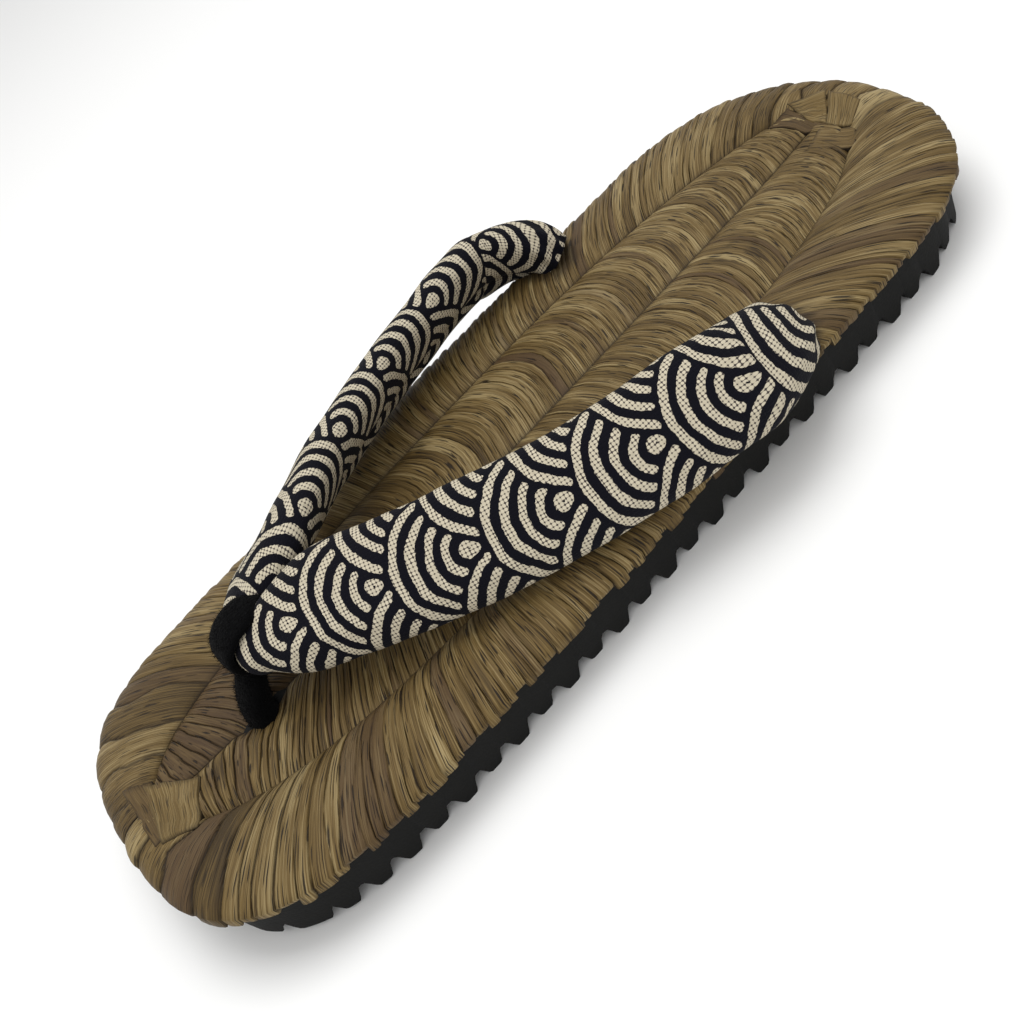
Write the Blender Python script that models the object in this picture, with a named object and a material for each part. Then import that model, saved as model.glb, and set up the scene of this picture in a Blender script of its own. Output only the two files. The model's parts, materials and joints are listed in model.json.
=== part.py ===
# Zori sandal, one shoe for either foot: woven mat on a foam sole with lugs,
# a padded V strap and a soft toe thong. Metres, +Z up, toe towards -Y, the
# sandal stands on z = 0 with the middle of its outline over the origin.
import math

import bmesh
import bpy
from mathutils import Vector

MM = 0.001

# Overall sizes
MAT_LENGTH = 260.0 * MM
MAT_WIDTH = 107.8 * MM
SOLE_HEIGHT = 13.0 * MM
TOE_SPRING = 3.5 * MM
HEEL_RISE = 3.0 * MM
CLEARANCE = 0.3 * MM

# Where the lengthwise curves begin, as shares of the length from the toe
TOE_SPRING_END = 0.25
HEEL_RISE_START = 0.84

# Rounding of the two ends of the outline: depth as a share of the length
TOE_ROUND_DEPTH = 0.231
TOE_ROUND_POWER = 2.65
HEEL_ROUND_DEPTH = 0.169
HEEL_ROUND_POWER = 2.31

# Mat: rim roll and two bands between creases
MAT_CREASE_THICKNESS = 2.8 * MM
RIM_CROWN = 2.7 * MM
BAND_CROWN = 1.6 * MM
STRIP_STEP = 0.55 * MM
STRIP_PITCH = 4.7 * MM
STRIP_FACE_SHARE = 0.8
SHINGLE_STEP = 0.7 * MM
LIP_INSET = 1.6 * MM
FOOT_INSET = 3.0 * MM
CREASE_HALF_SHARE = 0.585
CREASE_TOE_SHARE = 0.045
CREASE_HEEL_SHARE = 0.955
CREASE_POWER = 2.5
RIM_SLANT_SHARE = 0.012
TOE_CHEVRON = 17.0 * MM
BAND_ARC = 4.0 * MM

# Sole: slab and cross rows of lugs, every second row set back from the edge
SOLE_INSET = 2.5 * MM
LUG_HEIGHT = 4.0 * MM
LUG_PITCH = 8.1 * MM
LUG_ROW_START = 3.0 * MM
LUG_ROOT_LENGTH = 6.9 * MM
LUG_TIP_LENGTH = 4.3 * MM
LUG_SIDE_GAP = 4.0 * MM
LUG_SET_BACK = 0.7 * MM
LUGS_IN_EDGE_ROW = 4
LUGS_IN_SET_BACK_ROW = 3
SINGLE_LUG_REACH = 19.4 * MM
SOLE_OUTLINE_STEPS = 44
TOE_BENDS = 6
HEEL_BENDS = 4
TOE_PAD_ROW = -14
TOE_PAD_EXTRA = 3.4 * MM
TOE_PAD_TAPER_SHARE = 0.2
FIRST_SET_BACK_ROW = -10

# Strap
STRAP_WIDTH = 27.0 * MM
STRAP_THICKNESS = 12.8 * MM
STRAP_ARCH = 18.0 * MM
STRAP_SECTION_POWER = 2.2
STRAP_STATIONS = 26
STRAP_SECTION_POINTS = 16
ENTRY_ALONG_SHARE = 0.710
ENTRY_ACROSS_SHARE = 0.765
NECK_HALF_ACROSS = 4.5 * MM
NECK_HALF_ALONG = 4.0 * MM
NECK_POINTS = 14
SEAT_REACH_SHARE = 0.15
SEAT_STATIONS = 8
PEG_POINTS = 16

# Toe thong
THONG_ALONG_SHARE = 0.158
THONG_WIDTH = 12.5 * MM
THONG_NOTCH_WIDTH = 6.0 * MM
THONG_THICKNESS = 2.8 * MM
THONG_LOOP_LENGTH = 20.5 * MM
THONG_LOOP_HEIGHT = 14.5 * MM
THONG_LOOP_BACK = 12.6 * MM
THONG_LOOP_POINTS = 28
THONG_SECTION_POINTS = 10
THONG_SECTION_POWER = 2.6
POST_DEPTH = 8.4 * MM
POST_POINTS = 14

# Outline half width: share along from the toe, share of the half width
OUTLINE = (
    (0.00, 1.105),
    (0.14, 1.003),
    (0.28, 0.999),
    (0.45, 1.000),
    (0.62, 0.990),
    (0.78, 0.988),
    (0.90, 0.979),
    (1.00, 0.990),
)

# Rim roll: share of the rim's width, height in crowns above the crease,
# share of the strip step
RIM_SECTION = (
    (0.00, 0.00, 0.25),
    (0.13, 0.56, 0.80),
    (0.38, 1.00, 1.00),
    (0.66, 0.90, 1.00),
    (0.89, 0.42, 1.00),
    (1.00, -0.30, 1.00),
)

# Band: share of the way from the middle crease to the side crease, height in
# crowns, share of the strip step
BAND_SECTION = (
    (0.00, 0.00, 0.25),
    (0.17, 0.72, 0.80),
    (0.50, 1.00, 1.00),
    (0.83, 0.72, 0.80),
)

# Strap arm: share across the half width, share along from the toe, height
# above the crease in arches, width share, thickness share, tilt and heading
# of the wide axis in degrees
STRAP_ARM = (
    (0.100, 0.203, 0.98, 0.50, 0.74, -24.0, -12.0),
    (0.150, 0.222, 1.00, 0.74, 0.88, -27.0, -16.0),
    (0.212, 0.246, 1.01, 0.92, 0.96, -32.0, -24.0),
    (0.300, 0.280, 1.00, 1.00, 1.00, -37.0, -28.0),
    (0.568, 0.367, 0.91, 0.99, 0.98, -45.0, -30.0),
    (0.815, 0.477, 0.77, 0.97, 0.98, -48.0, -22.0),
    (0.970, 0.596, 0.65, 0.96, 1.04, -50.0, -6.0),
    (0.985, 0.645, 0.58, 0.94, 1.08, -52.0, 2.0),
    (0.945, 0.682, 0.49, 0.87, 1.10, -50.0, 8.0),
    (0.870, 0.704, 0.29, 0.72, 1.06, -40.0, 10.0),
    (0.800, 0.712, 0.02, 0.52, 0.90, -20.0, 6.0),
)

# Gathered neck of the strap from inside the arm's end to the entry: share
# across the half width, share along, height above the crease, size share
STRAP_NECK = (
    (0.835, 0.701, 0.36, 1.35),
    (0.795, 0.707, 0.24, 1.20),
    (0.768, 0.710, 0.15, 1.00),
)

# Thong post from the footbed up to the loop: share of the height, share of
# the way back to the loop, size share
POST_SECTION = (
    (0.00, 0.00, 1.00),
    (0.45, 0.15, 1.00),
    (0.80, 0.37, 0.95),
    (1.00, 0.51, 0.88),
)

# Domed front end of an arm: distance ahead in strap thicknesses, size share
STRAP_FRONT_DOME = (
    (0.50, 0.45),
    (0.36, 0.74),
    (0.16, 0.93),
)

MAT_BOTTOM = SOLE_HEIGHT + CLEARANCE
CREASE_HEIGHT = MAT_BOTTOM + MAT_CREASE_THICKNESS
HALF_WIDTH = MAT_WIDTH / 2
OVERCUT = 5.0 * MM
LUG_OVERCUT = 0.8 * MM


def table_value(table, share, column=1):
    """Smooth value of a table column at a share held in its first column."""
    rows = [(row[0], row[column]) for row in table]
    if share <= rows[0][0]:
        return rows[0][1]
    if share >= rows[-1][0]:
        return rows[-1][1]
    slopes = []
    for i in range(len(rows)):
        low = rows[max(i - 1, 0)]
        high = rows[min(i + 1, len(rows) - 1)]
        slopes.append((high[1] - low[1]) / (high[0] - low[0]))
    for i in range(len(rows) - 1):
        (a, va), (b, vb) = rows[i], rows[i + 1]
        if share <= b:
            span = b - a
            t = (share - a) / span
            h00 = (1 + 2 * t) * (1 - t) ** 2
            h10 = t * (1 - t) ** 2
            h01 = t * t * (3 - 2 * t)
            h11 = t * t * (t - 1)
            return h00 * va + h10 * span * slopes[i] + h01 * vb + h11 * span * slopes[i + 1]
    return rows[-1][1]


def half_width(share):
    """Half width of the mat's outline at a share of the length from the toe."""
    width = HALF_WIDTH * table_value(OUTLINE, share)
    if share < TOE_ROUND_DEPTH:
        left = max(0.0, 1 - share / TOE_ROUND_DEPTH)
        width *= max(0.0, 1 - left ** TOE_ROUND_POWER) ** (1 / TOE_ROUND_POWER)
    back = 1 - share
    if back < HEEL_ROUND_DEPTH:
        left = max(0.0, 1 - back / HEEL_ROUND_DEPTH)
        width *= max(0.0, 1 - left ** HEEL_ROUND_POWER) ** (1 / HEEL_ROUND_POWER)
    return width


def along(share):
    """Y of a share of the length from the toe."""
    return (share - 0.5) * MAT_LENGTH


def rise(y):
    """Height of toe spring and heel rise above the flat middle."""
    share = y / MAT_LENGTH + 0.5
    toe = max(0.0, TOE_SPRING_END - share) / TOE_SPRING_END
    heel = max(0.0, share - HEEL_RISE_START) / (1 - HEEL_RISE_START)
    return TOE_SPRING * toe ** 2 + HEEL_RISE * heel ** 2


def even_points(curve, shares):
    """Points of a polyline at given shares of its length."""
    lengths = [0.0]
    for a, b in zip(curve, curve[1:]):
        lengths.append(lengths[-1] + math.dist(a, b))
    points = []
    i = 0
    for share in shares:
        goal = min(max(share, 0.0), 1.0) * lengths[-1]
        while i < len(curve) - 2 and lengths[i + 1] < goal:
            i += 1
        while i > 0 and lengths[i] > goal:
            i -= 1
        span = lengths[i + 1] - lengths[i]
        t = (goal - lengths[i]) / span if span > 0 else 0.0
        t = min(max(t, 0.0), 1.0)
        points.append(tuple(p + t * (q - p) for p, q in zip(curve[i], curve[i + 1])))
    return points


def mat_half_outline(inset=0.0, samples=400):
    """Half outline from the toe to the heel on the +X side, moved inwards."""
    points = []
    for i in range(samples + 1):
        share = (1 - math.cos(math.pi * i / samples)) / 2
        points.append((half_width(share), along(share)))
    if inset <= 0:
        return points
    moved = []
    for i, point in enumerate(points):
        a = points[max(i - 1, 0)]
        b = points[min(i + 1, samples)]
        if i in (0, samples):
            tangent = (1.0 if i == 0 else -1.0, 0.0)
        else:
            size = math.dist(a, b)
            tangent = ((b[0] - a[0]) / size, (b[1] - a[1]) / size)
        moved.append((max(0.0, point[0] - inset * tangent[1]), point[1] + inset * tangent[0]))
    moved[0] = (0.0, moved[0][1])
    moved[-1] = (0.0, moved[-1][1])
    return moved


def crease_half_outline(samples=400):
    """Half of the oval crease between rim and bands, from toe to heel."""
    front, back = along(CREASE_TOE_SHARE), along(CREASE_HEEL_SHARE)
    middle, half = (front + back) / 2, (back - front) / 2
    width = CREASE_HALF_SHARE * HALF_WIDTH
    power = 2 / CREASE_POWER
    points = []
    for i in range(samples + 1):
        angle = math.pi * i / samples
        c, s = math.cos(angle), math.sin(angle)
        x = width * max(0.0, s) ** power
        y = middle - math.copysign(half * abs(c) ** power, c)
        points.append((x, y))
    points[0] = (0.0, front)
    points[-1] = (0.0, back)
    return points


def smooth_step(share):
    share = min(max(share, 0.0), 1.0)
    return share * share * (3 - 2 * share)


def band_shift(y, across):
    """Shift of a strip towards the heel: chevrons at the toe, arcs behind."""
    front = along(CREASE_TOE_SHARE)
    thong = along(THONG_ALONG_SHARE)
    back = along(CREASE_HEEL_SHARE)
    grow = smooth_step((y - front) / (thong - front))
    fade = 1 - smooth_step((y - thong) / (MAT_LENGTH / 5))
    end = smooth_step((back - y) / (MAT_LENGTH / 8))
    chevron = TOE_CHEVRON * grow * fade * (1 - across)
    arc = BAND_ARC * end * grow * (1 - fade) * math.sin(math.pi * across)
    return chevron + arc


def new_object(name, mesh_builder, collection, flat_faces=False):
    mesh = bpy.data.meshes.new(name)
    builder = bmesh.new()
    mesh_builder(builder)
    bmesh.ops.recalc_face_normals(builder, faces=builder.faces)
    if not flat_faces:
        bmesh.ops.triangulate(builder, faces=[f for f in builder.faces if len(f.verts) == 4])
    builder.to_mesh(mesh)
    builder.free()
    item = bpy.data.objects.new(name, mesh)
    collection.objects.link(item)
    return item


def cut(item, cutter, operation="DIFFERENCE"):
    """Apply one exact Boolean with another closed object."""
    step = item.modifiers.new(cutter.name, "BOOLEAN")
    step.operation = operation
    step.solver = "EXACT"
    step.object = cutter
    graph = bpy.context.evaluated_depsgraph_get()
    mesh = bpy.data.meshes.new_from_object(item.evaluated_get(graph))
    item.modifiers.clear()
    old = item.data
    item.data = mesh
    bpy.data.meshes.remove(old)


def loft(builder, sections, closed=False):
    """Join equal sections into a closed skin, with flat ends or as a ring."""
    rings = [[builder.verts.new(p) for p in section] for section in sections]
    pairs = list(zip(rings, rings[1:]))
    if closed:
        pairs.append((rings[-1], rings[0]))
    for a, b in pairs:
        for i in range(len(a)):
            k = (i + 1) % len(a)
            builder.faces.new((a[i], a[k], b[k], b[i]))
    if not closed:
        builder.faces.new(rings[0])
        builder.faces.new(rings[-1])


def rounded_section(centre, wide, thick, half_wide, half_thick, points, power):
    """Superellipse ring about a centre in the plane of two directions."""
    ring = []
    for i in range(points):
        angle = 2 * math.pi * (i + 0.5) / points
        c, s = math.cos(angle), math.sin(angle)
        u = math.copysign(abs(c) ** (2 / power), c) * half_wide
        v = math.copysign(abs(s) ** (2 / power), s) * half_thick
        ring.append(centre + wide * u + thick * v)
    return ring


# Footbed mat
def mat_rows():
    """Shares along the crease of the low and high edge of every strip."""
    crease = crease_half_outline()
    length = sum(math.dist(a, b) for a, b in zip(crease, crease[1:]))
    count = round(length / STRIP_PITCH)
    rows = []
    for i in range(count):
        rows.append((i / count, 0.0))
        rows.append(((i + STRIP_FACE_SHARE) / count, 1.0))
    rows.append((1.0, 0.0))
    return rows


def build_mat(builder):
    rows = mat_rows()
    last = len(rows) - 1
    inner = even_points(crease_half_outline(), [row[0] for row in rows])
    outer_shares = []
    for share, _ in rows:
        slant = RIM_SLANT_SHARE * math.sin(math.pi * share) * (0.5 + share)
        outer_shares.append(share + slant)
    outer = even_points(mat_half_outline(), outer_shares)
    lips = even_points(mat_half_outline(LIP_INSET), outer_shares)

    def rim_chain(i, side):
        step = rows[i][1] * STRIP_STEP
        chain = []
        for across, crowns, part in RIM_SECTION:
            x = inner[i][0] + across * (outer[i][0] - inner[i][0])
            y = inner[i][1] + across * (outer[i][1] - inner[i][1])
            z = CREASE_HEIGHT + crowns * RIM_CROWN + part * step + rise(y)
            chain.append(builder.verts.new((side * x, y, z)))
        lip = rows[i][1] * SHINGLE_STEP
        x, y = lips[i]
        chain.append(builder.verts.new((side * x, y, MAT_BOTTOM + lip + rise(y))))
        size = math.hypot(x, y)
        fx, fy = x - FOOT_INSET * x / size, y - FOOT_INSET * y / size
        chain.append(builder.verts.new((side * fx, fy, MAT_BOTTOM + rise(fy))))
        return chain

    toe, heel = rim_chain(0, 1), rim_chain(last, 1)
    chains = {}
    for side in (1, -1):
        chains[side] = [toe] + [rim_chain(i, side) for i in range(1, last)] + [heel]
        for i in range(last):
            a, b = chains[side][i], chains[side][i + 1]
            for k in range(len(a) - 1):
                builder.faces.new((a[k], a[k + 1], b[k + 1], b[k]))

    lines = []
    for i in range(1, last):
        half, y = inner[i]
        step = rows[i][1] * STRIP_STEP

        def band_vertex(side, entry):
            across, crowns, part = entry
            shifted = y + band_shift(y, across)
            z = CREASE_HEIGHT + crowns * BAND_CROWN + part * step + rise(shifted)
            return builder.verts.new((side * across * half, shifted, z))

        left = [band_vertex(-1, entry) for entry in reversed(BAND_SECTION[1:])]
        centre = [band_vertex(1, BAND_SECTION[0])]
        right = [band_vertex(1, entry) for entry in BAND_SECTION[1:]]
        lines.append([chains[-1][i][0]] + left + centre + right + [chains[1][i][0]])
    for a, b in zip(lines, lines[1:]):
        for k in range(len(a) - 1):
            builder.faces.new((a[k], a[k + 1], b[k + 1], b[k]))
    for tip, line in ((toe[0], lines[0]), (heel[0], lines[-1])):
        for k in range(len(line) - 1):
            builder.faces.new((tip, line[k], line[k + 1]))

    for i in range(1, last - 1):
        a, b = chains[-1][i][-1], chains[1][i][-1]
        c, d = chains[1][i + 1][-1], chains[-1][i + 1][-1]
        builder.faces.new((a, b, c, d))
    builder.faces.new((toe[-1], chains[-1][1][-1], chains[1][1][-1]))
    builder.faces.new((heel[-1], chains[-1][last - 1][-1], chains[1][last - 1][-1]))


def build_peg(builder, centre, half_across, half_along, low, high):
    """Upright elliptical peg."""
    sections = []
    for z in (low, high):
        ring = []
        for i in range(PEG_POINTS):
            angle = 2 * math.pi * i / PEG_POINTS
            ring.append(
                Vector(
                    (
                        centre[0] + half_across * math.cos(angle),
                        centre[1] + half_along * math.sin(angle),
                        z,
                    )
                )
            )
        sections.append(ring)
    loft(builder, sections)


# Foam sole
def curved_shares():
    """Shares of the length at which the toe spring and heel rise are bent."""
    front = [TOE_SPRING_END * i / TOE_BENDS for i in range(TOE_BENDS + 1)]
    span = 1 - HEEL_RISE_START
    return front + [HEEL_RISE_START + span * i / HEEL_BENDS for i in range(HEEL_BENDS + 1)]


def sole_half_outline():
    """Points of the sole's +X side from toe to heel, with the curve's ends."""
    steps = range(SOLE_OUTLINE_STEPS + 1)
    points = even_points(mat_half_outline(SOLE_INSET), [i / SOLE_OUTLINE_STEPS for i in steps])
    for limit in (along(TOE_SPRING_END), along(HEEL_RISE_START)):
        nearest = min(range(len(points)), key=lambda i: abs(points[i][1] - limit))
        points[nearest] = (half_width(limit / MAT_LENGTH + 0.5) - SOLE_INSET, limit)
    return points


def build_sole_prism(builder):
    half = sole_half_outline()
    last = len(half) - 1
    levels = (0.0, SOLE_HEIGHT)

    def column(point, side):
        x, y = point
        return [builder.verts.new((side * x, y, z + rise(y))) for z in levels]

    toe, heel = column(half[0], 1), column(half[-1], 1)
    right = [toe] + [column(p, 1) for p in half[1:-1]] + [heel]
    left = [toe] + [column(p, -1) for p in half[1:-1]] + [heel]
    for chain in (right, left):
        for a, b in zip(chain, chain[1:]):
            builder.faces.new((a[0], a[1], b[1], b[0]))
    first = min(i for i in range(last) if half[i][1] >= along(TOE_SPRING_END) - MM / 1000)
    final = max(i for i in range(last) if half[i][1] <= along(HEEL_RISE_START) + MM / 1000)
    for level in (0, 1):
        builder.faces.new((toe[level], right[1][level], left[1][level]))
        builder.faces.new((heel[level], right[-2][level], left[-2][level]))
        for i in list(range(1, first)) + list(range(final, last - 1)):
            a, b = left[i][level], right[i][level]
            c, d = right[i + 1][level], left[i + 1][level]
            builder.faces.new((a, b, c, d))
        middle = [right[i][level] for i in range(first, final + 1)]
        middle += [left[i][level] for i in range(final, first - 1, -1)]
        builder.faces.new(middle)


def build_gap_block(builder):
    """Block below the slab, wider than the sole, following its rise."""
    reach = HALF_WIDTH + OVERCUT
    sections = []
    for share in curved_shares():
        y = along(share)
        if share in (0.0, 1.0):
            y += math.copysign(OVERCUT, y)
        low, high = rise(along(share)) - LUG_OVERCUT, rise(along(share)) + LUG_HEIGHT
        ring = []
        for x, z in ((-reach, low), (reach, low), (reach, high), (-reach, high)):
            ring.append(Vector((x, y, z)))
        sections.append(ring)
    loft(builder, sections)


def lug_rows():
    """Centre, extra length and kind of every cross row of lugs."""
    reach = MAT_LENGTH / 2 - SOLE_INSET
    first = math.ceil((-reach - LUG_ROW_START) / LUG_PITCH)
    last = math.floor((reach - LUG_ROW_START) / LUG_PITCH)
    rows = []
    for n in range(first, last + 1):
        extra = TOE_PAD_EXTRA if n == TOE_PAD_ROW else 0.0
        rows.append((n * LUG_PITCH + LUG_ROW_START, extra, n % 2 == 1 or n < FIRST_SET_BACK_ROW))
    return rows


def build_lugs(builder):
    """Tapered blocks in cross rows, each reaching through the gap block."""
    slope = (LUG_ROOT_LENGTH - LUG_TIP_LENGTH) / 2 / LUG_HEIGHT
    for y, extra, at_edge in lug_rows():
        share = y / MAT_LENGTH + 0.5
        edge = half_width(share) - SOLE_INSET
        if at_edge:
            reach, count = edge + OVERCUT, LUGS_IN_EDGE_ROW
        else:
            reach, count = edge - LUG_SET_BACK, LUGS_IN_SET_BACK_ROW
        if edge < SINGLE_LUG_REACH:
            count = 1
        width = (2 * reach - (count - 1) * LUG_SIDE_GAP) / count
        taper = slope * (TOE_PAD_TAPER_SHARE if extra else 1.0)
        for k in range(count):
            x = -reach + width / 2 + k * (width + LUG_SIDE_GAP)
            sections = []
            for z in (-2 * LUG_OVERCUT, LUG_HEIGHT + LUG_OVERCUT):
                grow = slope * z
                half_x = width / 2 + (grow - slope * LUG_HEIGHT) / 2
                half_y = (LUG_TIP_LENGTH + extra) / 2 + taper * z
                corners = ((-half_x, -half_y), (half_x, -half_y), (half_x, half_y), (-half_x, half_y))
                sections.append([Vector((x + cx, y + cy, z + rise(y))) for cx, cy in corners])
            loft(builder, sections)


# Strap
def spline(values, t):
    """Catmull-Rom value at t in 0..1 over equally spaced values."""
    last = len(values) - 1
    place = min(max(t, 0.0), 1.0) * last
    i = min(int(place), last - 1)
    f = place - i
    p0 = values[max(i - 1, 0)]
    p1, p2 = values[i], values[i + 1]
    p3 = values[min(i + 2, last)]
    m1, m2 = (p2 - p0) / 2, (p3 - p1) / 2
    h = f * f
    return (
        (2 * h * f - 3 * h + 1) * p1
        + (h * f - 2 * h + f) * m1
        + (3 * h - 2 * h * f) * p2
        + (h * f - h) * m2
    )


def strap_place(across, share, arches):
    """Point of the strap on the +X side from its shares."""
    y = along(share)
    return Vector((across * HALF_WIDTH, y, CREASE_HEIGHT + arches * STRAP_ARCH + rise(y)))


def mirrored(sections, side):
    if side > 0:
        return sections
    return [[Vector((-p.x, p.y, p.z)) for p in ring] for ring in sections]


def build_arm(builder, side):
    """One arm: a padded band through the table's rows, domed at the front."""
    places = [strap_place(*row[:3]) for row in STRAP_ARM]
    axes = []
    for row in STRAP_ARM:
        lean, turn = math.radians(row[5]), math.radians(row[6])
        flat = math.cos(lean)
        axes.append(Vector((flat * math.cos(turn), flat * math.sin(turn), math.sin(lean))))
    wides = [row[3] * STRAP_WIDTH / 2 for row in STRAP_ARM]
    thicks = [row[4] * STRAP_THICKNESS / 2 for row in STRAP_ARM]

    def vector_at(values, t):
        return Vector([spline([value[k] for value in values], t) for k in range(3)])

    sections = []
    for i in range(STRAP_STATIONS + 1):
        t = i / STRAP_STATIONS
        ahead, behind = min(t + 0.01, 1.0), max(t - 0.01, 0.0)
        tangent = (vector_at(places, ahead) - vector_at(places, behind)).normalized()
        wide = vector_at(axes, t)
        wide = (wide - tangent * wide.dot(tangent)).normalized()
        thick = tangent.cross(wide).normalized()
        centre = vector_at(places, t)
        stations = [(0.0, 1.0)]
        if i == 0:
            stations = list(STRAP_FRONT_DOME) + stations
        for front, size in stations:
            sections.append(
                rounded_section(
                    centre - tangent * front * STRAP_THICKNESS, wide, thick,
                    size * spline(wides, t), size * spline(thicks, t),
                    STRAP_SECTION_POINTS, STRAP_SECTION_POWER,
                )
            )
    loft(builder, mirrored(sections, side))


def build_neck(builder, side):
    """Gathered end of an arm, from inside the arm down into its entry."""
    sections = []
    places = [(strap_place(*row[:3]), row[3]) for row in STRAP_NECK]
    tail = strap_place(ENTRY_ACROSS_SHARE, ENTRY_ALONG_SHARE, 0.0)
    tail.z = SOLE_HEIGHT + 2 * CLEARANCE
    for centre, size in places + [(tail, 1.0)]:
        sections.append(
            rounded_section(
                centre, Vector((1.0, 0.0, 0.0)), Vector((0.0, 1.0, 0.0)),
                size * NECK_HALF_ACROSS, size * NECK_HALF_ALONG, NECK_POINTS, 2.0,
            )
        )
    loft(builder, mirrored(sections, side))


def crease_half_width(y):
    front, back = along(CREASE_TOE_SHARE), along(CREASE_HEEL_SHARE)
    middle, half = (front + back) / 2, (back - front) / 2
    off = min(abs(y - middle) / half, 1.0)
    return CREASE_HALF_SHARE * HALF_WIDTH * (1 - off ** CREASE_POWER) ** (1 / CREASE_POWER)


def build_rim_seat(builder, side):
    """Smooth copy of the rim near an entry, a clearance above its strips."""
    sections = []
    for i in range(SEAT_STATIONS):
        reach = SEAT_REACH_SHARE * (2 * i / (SEAT_STATIONS - 1) - 1)
        share = ENTRY_ALONG_SHARE + reach
        y = along(share)
        inner, outer = crease_half_width(y), half_width(share) + CLEARANCE
        lift = rise(y) + STRIP_STEP + CLEARANCE
        ring = [Vector((inner / 2, y, MAT_BOTTOM + lift - OVERCUT))]
        ring.append(Vector((inner / 2, y, CREASE_HEIGHT + BAND_CROWN + lift)))
        for across, crowns, part in RIM_SECTION:
            x = inner + across * (outer - inner)
            ring.append(Vector((x, y, CREASE_HEIGHT + crowns * RIM_CROWN + lift)))
        ring.append(Vector((outer, y, MAT_BOTTOM + lift - OVERCUT)))
        sections.append(ring)
    loft(builder, mirrored(sections, side))


# Toe thong
def loop_centre():
    y = along(THONG_ALONG_SHARE) + THONG_LOOP_BACK
    return Vector((0.0, y, CREASE_HEIGHT + STRAP_ARCH + rise(y)))


def build_loop(builder, extra=0.0):
    """Band around the meeting of the arms, narrow in the notch behind it."""
    centre = loop_centre()
    half_long = (THONG_LOOP_LENGTH - THONG_THICKNESS) / 2
    half_high = (THONG_LOOP_HEIGHT - THONG_THICKNESS) / 2
    sections = []
    for i in range(THONG_LOOP_POINTS):
        angle = 2 * math.pi * i / THONG_LOOP_POINTS
        c, s = math.cos(angle), math.sin(angle)
        place = centre + Vector((0.0, half_long * c, half_high * s))
        outward = Vector((0.0, c / half_long, s / half_high)).normalized()
        narrow = smooth_step((c - 0.1) / 0.9)
        width = THONG_WIDTH + narrow * (THONG_NOTCH_WIDTH - THONG_WIDTH)
        sections.append(
            rounded_section(
                place, Vector((1.0, 0.0, 0.0)), outward,
                width / 2 + extra, THONG_THICKNESS / 2 + extra,
                THONG_SECTION_POINTS, THONG_SECTION_POWER,
            )
        )
    loft(builder, sections, closed=True)


def build_post(builder, extra=0.0):
    """Roll of the thong from the loop down into the footbed."""
    loop = loop_centre()
    hole_y = along(THONG_ALONG_SHARE)
    bottom = SOLE_HEIGHT + 2 * CLEARANCE + rise(hole_y) - extra
    knee = CREASE_HEIGHT + rise(hole_y) + THONG_THICKNESS / 2
    top = loop.z - (THONG_LOOP_HEIGHT - THONG_THICKNESS) / 2
    stations = [(bottom, 0.0, POST_SECTION[0][2])]
    for share, back, size in POST_SECTION:
        stations.append((knee + share * (top - knee), back, size))
    sections = []
    for z, back, size in stations:
        sections.append(
            rounded_section(
                Vector((0.0, hole_y + back * THONG_LOOP_BACK, z)),
                Vector((1.0, 0.0, 0.0)), Vector((0.0, 1.0, 0.0)),
                size * THONG_WIDTH / 2 + extra, size * POST_DEPTH / 2 + extra,
                POST_POINTS, STRAP_SECTION_POWER,
            )
        )
    loft(builder, sections)


def material(name, colour, roughness, metallic=0.0):
    item = bpy.data.materials.new(name)
    item.use_nodes = True
    shader = item.node_tree.nodes["Principled BSDF"]
    shader.inputs["Base Color"].default_value = (*colour, 1.0)
    shader.inputs["Roughness"].default_value = roughness
    shader.inputs["Metallic"].default_value = metallic
    item.diffuse_color = (*colour, 1.0)
    return item


def finish(item, name, colour, roughness, smooth):
    item.data.materials.clear()
    item.data.materials.append(material(name, colour, roughness))
    for polygon in item.data.polygons:
        polygon.use_smooth = smooth
        polygon.material_index = 0


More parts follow.
